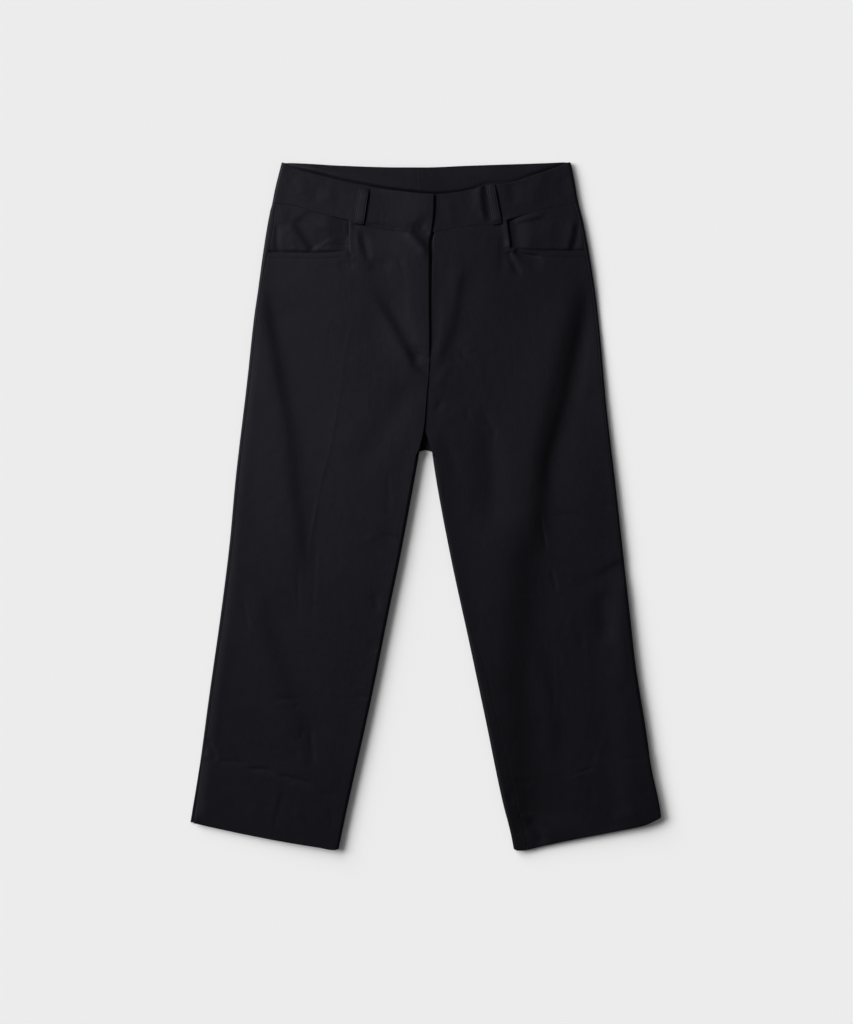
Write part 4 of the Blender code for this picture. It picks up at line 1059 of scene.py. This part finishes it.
def fly_shield():
    """Ply behind the zip, with a rounded lower outer corner."""
    share = np.linspace(0, 1, SHIELD_COLUMNS + 1)
    x = SHIELD["left_x"] + share * (SHIELD["right_x"] - SHIELD["left_x"])
    cut = np.clip(1 - (x - SHIELD["left_x"]) / SHIELD["corner"], 0, 1)
    bottom = SHIELD["bottom_y"] + SHIELD["corner"] * (1 - np.sqrt(1 - cut**2))
    top = np.minimum(SHIELD["top_y"], smooth(BAND_SEAM, x) - SEAM_GAP)
    down = np.linspace(0, 1, SHIELD_ROWS + 1)[:, None]
    y = top + down * (bottom - top)
    grid = np.dstack([np.broadcast_to(x, y.shape), y])
    borders = [grid[..., 0] - SHIELD["left_x"], SHIELD["right_x"] - grid[..., 0], top - y, y - bottom]
    borders = [(distance, FREE_EDGE) for distance in borders]
    upper, under = two_faces(grid, np.full(y.shape, SHIELD["base"] + CLOTH), CLOTH, borders)
    return wall_piece("fly_shield_cloth", upper, under, GABARDINE)


def zip_tape(side):
    """Woven tape beside the zip's chain."""
    toward_side = -inward(side)
    near_table = [(y, toward_side * inner) for y, inner in TAPE_INNER]
    rows = np.unique(np.concatenate([[y for y, _ in TAPE_INNER], np.linspace(*TAPE_SPAN, TAPE_ROWS)]))[::-1]
    near = np.interp(rows, *np.array(sorted(near_table)).T)
    share = np.linspace(0, 1, TAPE_COLUMNS + 1)
    x = near[:, None] + share * (toward_side * TAPE_END - near)[:, None]
    grid = np.dstack([x, np.broadcast_to(rows[:, None], x.shape)])
    rib = TAPE_RIB * np.cos(np.abs(x - near[:, None]) * 2 * math.pi / TAPE_RIB_PITCH)
    under = with_height(grid, CHAIN_BASE)
    upper = under + np.dstack([0 * x, 0 * x, TAPE_WALL - TAPE_RIB_ROOM + rib])
    return wall_piece(f"zip_tape_{side}_weave", upper, under, TAPE)


def tube(points, radius):
    """Vertices and quad faces of a closed-ended tube along points."""
    points = np.asarray(points, float)
    tangent = np.gradient(points, axis=0)
    tangent /= np.linalg.norm(tangent, axis=1)[:, None]
    up = np.array([0.0, 0.0, 1.0])
    aside = np.cross(tangent, up)
    size = np.linalg.norm(aside, axis=1)
    aside = np.where(size[:, None] > 1e-3, aside / np.maximum(size, 1e-9)[:, None], np.array([1.0, 0, 0]))
    over = np.cross(aside, tangent)
    radius = np.broadcast_to(radius, len(points))
    angle = np.arange(TUBE_SIDES) * 2 * math.pi / TUBE_SIDES
    ring = (points[:, None] + radius[:, None, None] * (np.cos(angle)[None, :, None] * aside[:, None]
                                                      + np.sin(angle)[None, :, None] * over[:, None]))
    faces = []
    for row in range(len(points) - 1):
        low, high = row * TUBE_SIDES, (row + 1) * TUBE_SIDES
        for column in range(TUBE_SIDES):
            after = (column + 1) % TUBE_SIDES
            faces.append([low + column, low + after, high + after, high + column])
    return ring.reshape(-1, 3), faces


def tubes_piece(name, paths, radius, material):
    """One mesh of many thin tubes, with pointed ends."""
    vertices = []
    faces = []
    count = 0
    for path in paths:
        path = np.asarray(path, float)
        thick = np.full(len(path), float(radius))
        thick[[0, -1]] = radius * TUBE_TIP
        ring, quads = tube(path, thick)
        vertices.append(ring)
        faces += [[index + count for index in quad] for quad in quads]
        last = (len(path) - 1) * TUBE_SIDES + count
        faces += [[count, count + 1, count + 2, count + 3], [count, count + 3, count + 4, count + 5]]
        faces += [[last + 3, last + 2, last + 1, last], [last + 5, last + 4, last + 3, last]]
        count += len(ring)
    piece = new_object(name, (np.concatenate(vertices) * MM).tolist(), faces, material)
    piece.data.validate()
    piece.data.shade_smooth()
    return piece


def stitch_run(path):
    """Ends of the stitches along a path."""
    points = curve(path, STITCH_SAMPLING)
    runs = np.concatenate([[0.0], np.cumsum(np.hypot(*np.diff(points, axis=0).T))])
    count = max(1, int(runs[-1] / STITCH_PITCH))
    found = []
    for index in range(count):
        start = index * runs[-1] / count
        ends = (start, start + STITCH_LENGTH)
        found.append([[np.interp(run, runs, points[:, axis]) for axis in (0, 1)] for run in ends])
    return found


def bar_tack(middle, aside, width):
    """Ends of the close stitches of a bar tack, across a width."""
    aside = np.asarray(aside, float)
    down = np.array([-aside[1], aside[0]])
    found = []
    for index in range(TACK_COUNT):
        at = middle + aside * width * ((index + 0.5) / TACK_COUNT - 0.5)
        lean = aside * width / TACK_COUNT * TACK_LEAN
        found.append([at - down * TACK_DEPTH / 2 - lean, at + down * TACK_DEPTH / 2 + lean])
    return found


def threads(name, stitches, surface, below=False):
    """Stitches as short arched threads on a surface, whose height is given for places on it."""
    paths = []
    share = np.linspace(0, 1, THREAD_POINTS)
    hump = THREAD * (THREAD_ARCH * np.sin(math.pi * share) - THREAD_SINK)
    for start, end in stitches:
        start, end = np.asarray(start, float), np.asarray(end, float)
        place = start + share[:, None] * (end - start)
        z = surface(place[:, 0], place[:, 1]) + (-hump if below else hump)
        paths.append(np.column_stack([place, z]))
    return tubes_piece(name, paths, THREAD, SEWING_THREAD)


def zip_coils():
    """Closed coil teeth on both sides of the zip."""
    low, high = CHAIN_ENDS
    turns = int((high - low) / COIL_PITCH)
    paths = []
    for hand in (-1, 1):
        phase = np.linspace(0, turns, turns * COIL_SAMPLES + 1)
        angle = 2 * math.pi * (phase + (0.5 if hand > 0 else 0))
        x = hand * (COIL_X + COIL_REACH * np.cos(angle))
        z = (CHAIN_BASE + CHAIN_TOP) / 2 + COIL_HEIGHT * np.sin(angle)
        y = low + phase * COIL_PITCH
        paths.append(np.column_stack([x, y, z]))
    return tubes_piece("zip_chain_coils", paths, COIL_RADIUS, COIL)


class Finish:
    """A material whose even values stand on its shader, with the nodes that vary the others."""

    def __init__(self, name, colour, roughness, metallic=0.0, **sockets):
        self.material = bpy.data.materials.new(name)
        self.material.use_nodes = True
        self.nodes, self.links = self.material.node_tree.nodes, self.material.node_tree.links
        self.shader = self.nodes["Principled BSDF"]
        sockets |= dict(Base_Color=(*colour, 1.0), Roughness=roughness, Metallic=metallic)
        self.fill(self.shader, **sockets)

    def fill(self, node, **sockets):
        """Set a node's sockets to values, or link them to other nodes' outputs."""
        for name, value in sockets.items():
            socket = node.inputs[name.replace("_", " ")]
            if isinstance(value, bpy.types.NodeSocket):
                self.links.new(value, socket)
            elif value is not None:
                socket.default_value = value

    def node(self, kind, output, **sockets):
        """Output of a new node."""
        node = self.nodes.new(f"ShaderNode{kind}")
        self.fill(node, **sockets)
        return node.outputs[output]

    def vary(self, **sockets):
        """Link the shader's sockets to nodes' outputs."""
        self.fill(self.shader, **sockets)

    def place(self):
        """Coordinates fixed to the piece."""
        return self.node("TexCoord", "Object")

    def noise(self, vector, scale, detail=2.0, roughness=0.5):
        """Soft even noise between 0 and 1."""
        return self.node("TexNoise", "Fac", Scale=scale, Detail=detail, Roughness=roughness, Vector=vector)

    def stripes(self, vector, wavelength, turn, distortion=0.0):
        """Ridges of one wavelength in metres, turned in the plane of the cloth."""
        turned = self.node("Mapping", "Vector", Rotation=(0.0, 0.0, math.radians(turn)), Vector=vector)
        return self.node("TexWave", "Fac", Scale=2 * math.pi / (20 * wavelength), Distortion=distortion,
                         Vector=turned)

    def bump(self, height, distance, normal=None):
        """Normal bent by a height, on top of another normal."""
        return self.node("Bump", "Normal", Strength=1.0, Distance=distance, Height=height, Normal=normal)

    def spread_range(self, value, low, high, first=0.0, last=1.0):
        """A value between first and last moved to a range."""
        return self.node("MapRange", "Result", From_Min=first, From_Max=last, To_Min=low, To_Max=high,
                         Value=value)

    def weighted(self, parts):
        """Sum of values, each times its weight."""
        total = None
        for value, weight in parts:
            node = self.nodes.new("ShaderNodeMath")
            node.operation = "MULTIPLY_ADD"
            node.inputs[1].default_value = weight
            node.inputs[2].default_value = 0.0
            self.links.new(value, node.inputs[0])
            if total is not None:
                self.links.new(total, node.inputs[2])
            total = node.outputs["Value"]
        return total

    def shade(self, dark, light, share):
        """Vary the base colour between two by a value."""
        node = self.nodes.new("ShaderNodeMix")
        node.data_type = "RGBA"
        self.fill(node, A=(*dark, 1.0), B=(*light, 1.0), Factor=share)
        self.vary(Base_Color=node.outputs["Result"])


def gabardine():
    """Black worsted-like twill: steep fine lines, soft sheen, and slight unevenness of nap and crumple."""
    tint = (0.845, 0.806, 1.0, 1.0)
    twill = Finish("gabardine", (0.0017, 0.0016, 0.0023), 0.55, Specular_IOR_Level=0.069, Sheen_Weight=0.0096,
                   Specular_Tint=tint, Sheen_Roughness=0.45, Sheen_Tint=tint)
    place = twill.place()
    nap = twill.noise(place, 34.0, 3.0, 0.6)
    fine = twill.noise(place, 900.0, 2.0, 0.6)
    drawn = twill.node("Mapping", "Vector", Scale=(1.0, 0.14, 1.0), Vector=place)
    streaks = twill.noise(drawn, 260.0, 2.0, 0.6)
    mixed = twill.weighted([(nap, 0.25), (fine, 0.4), (streaks, 0.35)])
    twill.shade((0.0002, 0.0002, 0.0003), (0.0031, 0.0029, 0.0041), mixed)
    aslant = twill.node("LayerWeight", "Facing")
    matt = twill.spread_range(aslant, 0.0, 0.4, 0.15, 0.6)  # or black cloth would turn grey seen at a slant
    gloss = twill.spread_range(fine, 0.44, 0.66)
    twill.vary(Roughness=twill.weighted([(gloss, 1.0), (matt, 1.0)]))
    lines = twill.stripes(place, 0.0007, 27.0, 1.5)
    crumple = twill.noise(place, 60.0, 3.0, 0.6)
    normal = None
    for height, distance in ((crumple, 0.00036), (streaks, 0.00007), (fine, 0.00006), (lines, 0.00005)):
        normal = twill.bump(height, distance, normal)
    twill.vary(Normal=normal)
    return twill.material


def tape_weave():
    """Herringbone-like woven tape."""
    tape = Finish("zip_tape", (0.006, 0.006, 0.007), 0.8, Specular_IOR_Level=0.3)
    place = tape.place()
    along = tape.stripes(place, 0.0006, 60.0)
    across = tape.stripes(place, 0.0006, -60.0)
    tape.shade((0.0045, 0.0045, 0.0055), (0.0085, 0.0085, 0.0095), along)
    normal = tape.bump(along, 0.00008)
    tape.vary(Normal=tape.bump(across, 0.00008, normal))
    return tape.material


def thread_finish():
    """Spun polyester thread: fine twist along each stitch."""
    thread = Finish("sewing_thread", (0.0019, 0.0018, 0.0025), 0.6, Specular_IOR_Level=0.08)
    twist = thread.stripes(thread.place(), 0.00035, 45.0)
    thread.shade((0.0012, 0.0011, 0.0016), (0.0026, 0.0024, 0.0034), twist)
    thread.vary(Normal=thread.bump(twist, 0.00005))
    return thread.material


def coil_finish():
    """Dyed nylon coil."""
    nylon = Finish("zip_coil", (0.008, 0.008, 0.009), 0.35)
    mottle = nylon.noise(nylon.place(), 700.0)
    nylon.shade((0.006, 0.006, 0.007), (0.011, 0.011, 0.012), mottle)
    nylon.vary(Roughness=nylon.spread_range(mottle, 0.28, 0.42))
    return nylon.material


def dark_metal():
    """Lacquered dark metal with small scuffs."""
    metal = Finish("dark_metal", (0.035, 0.035, 0.037), 0.36, 0.9)
    scuffs = metal.noise(metal.place(), 850.0, 4.0, 0.65)
    metal.shade((0.026, 0.026, 0.028), (0.05, 0.05, 0.053), scuffs)
    metal.vary(Roughness=metal.spread_range(scuffs, 0.28, 0.48), Normal=metal.bump(scuffs, 0.00002))
    return metal.material


GABARDINE = gabardine()
TAPE = tape_weave()
SEWING_THREAD = thread_finish()
COIL = coil_finish()
METAL = dark_metal()


def along_table(table, first, last, shift):
    """Points (x, y) along a table (x, y) between two x, a millimetre apart, moved by a shift."""
    x = np.linspace(first, last, max(2, int(abs(last - first))))
    return np.column_stack([x + shift[0], smooth(table, x) + shift[1]])


def topstitching(side):
    """Stitches along the pocket mouth of one front and, on the right front, down the fly."""
    shape = SIDES[side]
    toward_middle = inward(side)
    inset = MOUTH_STITCH
    mouth = shape["pocket"]
    x = float(smooth(shape["crease"], MOUTH_CORNER_Y))
    outer_x = float(side_seam(side, MOUTH_OUTER_Y))
    first_x = outer_x + toward_middle * STITCH_STOP
    across = along_table(mouth, first_x, x + toward_middle * inset, (0.0, -inset))
    top_y = float(smooth(BAND_SEAM, x)) - STITCH_STOP
    y = np.linspace(float(smooth(mouth, x)) - inset, top_y, MOUTH_POINTS)[1:]
    up = np.column_stack([smooth(shape["crease"], y) + toward_middle * inset, y])
    runs = stitch_run(np.concatenate([across, up]))
    if side == "right":
        runs += stitch_run(FLY_STITCH)
        for middle, aside in FLY_TACKS:
            runs += bar_tack(np.array(middle), np.array(aside), FLY_TACK_WIDTH)
    return threads(f"front_{side}_stitches", runs, lambda x, y: panel_height(side, x, y))


def dress(pieces, node):
    """Mount pieces on the root body in place of a CAD node."""
    for piece in pieces:
        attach(piece, "root")
        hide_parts(node)


def lay_sheet(node, cut, rests_on, cloth, thread=None, slot="gabardine"):
    """Mount a cloth piece, and the stitches in it."""
    stitches = [] if thread is None else [thread]
    dress([cloth, *stitches], node)


def build():
    """Every visible piece. The zip's slider and pull, and the waist's hook and bar, are the CAD nodes."""
    for side in SIDES:
        names = ("front", "back", "pocket_facing", "waistband")
        front, back, facing, band = (f"{name}_{side}" for name in names)
        lay_sheet(front, front, [back], front_panel(side), topstitching(side))
        lay_sheet(back, back, ["floor"], back_panel(side))
        lay_sheet(facing, facing, [back], pocket_facing(side))
        lay_sheet(band, band, ["floor"], waistband(side))
        for place, make in (("front", front_belt_loop), ("back", back_belt_loop)):
            node = f"belt_loop_{place}_{side}"
            lay_sheet(node, node, [band], *make(side))
        lay_sheet(f"zip_tape_{side}", "zip_tape", ["fly_shield"], zip_tape(side), slot="zip_tape")
    lay_sheet("fly_shield", "fly_shield", ["back_right", "back_left"], fly_shield())
    dress([zip_coils()], "zip_chain")
    for node in ("zip_slider", "zip_pull", "waist_hook", "waist_bar"):
        for place in frame["nodes"][node].material_slots:
            place.material = METAL


def floor():
    """Plain pale floor under the garment."""
    size = FLOOR_SIZE / 2
    corners = [(-size, -size, -FLOOR_GAP), (size, -size, -FLOOR_GAP), (size, size, -FLOOR_GAP),
               (-size, size, -FLOOR_GAP)]
    matt = Finish("floor", (FLOOR_SHADE,) * 3, 0.9, Specular_IOR_Level=0.0)
    plane = new_object("floor", corners, [(0, 1, 2, 3)], matt.material)


def aimed(lamp_object, toward):
    """Turn a light so that it shines from a direction."""
    lamp_object.rotation_euler = Vector(toward).to_track_quat("Z", "Y").to_euler()


def from_sky(azimuth, elevation):
    """Direction toward a place in the sky: azimuth from +X toward +Y, in degrees."""
    turn, rise = math.radians(azimuth), math.radians(elevation)
    return (math.cos(turn) * math.cos(rise), math.sin(turn) * math.cos(rise), math.sin(rise))


def lights():
    """Even surroundings, two broad keys, and a soft light that reaches the garment alone."""
    world = bpy.data.worlds.new("studio")
    world.use_nodes = True
    world.node_tree.nodes["Background"].inputs["Color"].default_value = (*WORLD_COLOUR, 1.0)
    world.node_tree.nodes["Background"].inputs["Strength"].default_value = WORLD_STRENGTH
    bpy.context.scene.world = world
    for index, look in enumerate(KEYS):
        key = bpy.data.lights.new(f"key_{index}", "SUN")
        key.energy = look["strength"]
        key.angle = math.radians(look["angle"])
        key_object = bpy.data.objects.new(f"key_{index}", key)
        bpy.context.scene.collection.objects.link(key_object)
        aimed(key_object, from_sky(*look["place"]))
    soft = bpy.data.lights.new("soft", "AREA")
    soft.shape = "RECTANGLE"
    soft.size, soft.size_y = SOFT_SIZE
    soft.energy = SOFT_POWER
    soft_object = bpy.data.objects.new("soft", soft)
    bpy.context.scene.collection.objects.link(soft_object)
    soft_object.location = SOFT_PLACE
    aimed(soft_object, Vector(SOFT_PLACE) - Vector(SOFT_AIM))
    cloth_only = bpy.data.collections.new("lit_by_soft")
    for piece in bpy.context.scene.objects:
        if piece.type == "MESH" and piece.name != "floor":
            cloth_only.objects.link(piece)
    soft_object.light_linking.receiver_collection = cloth_only


def camera():
    """Camera that looks straight down, as in the photo."""
    lens = bpy.data.cameras.new("camera")
    lens.lens = CAMERA_LENS
    lens.sensor_width = CAMERA_SENSOR
    lens.clip_end = CAMERA_END
    view = bpy.data.objects.new("camera", lens)
    bpy.context.scene.collection.objects.link(view)
    view.location = CAMERA_PLACE
    bpy.context.scene.camera = view


build()
floor()
camera()
lights()
bpy.context.scene.view_settings.view_transform = "Standard"
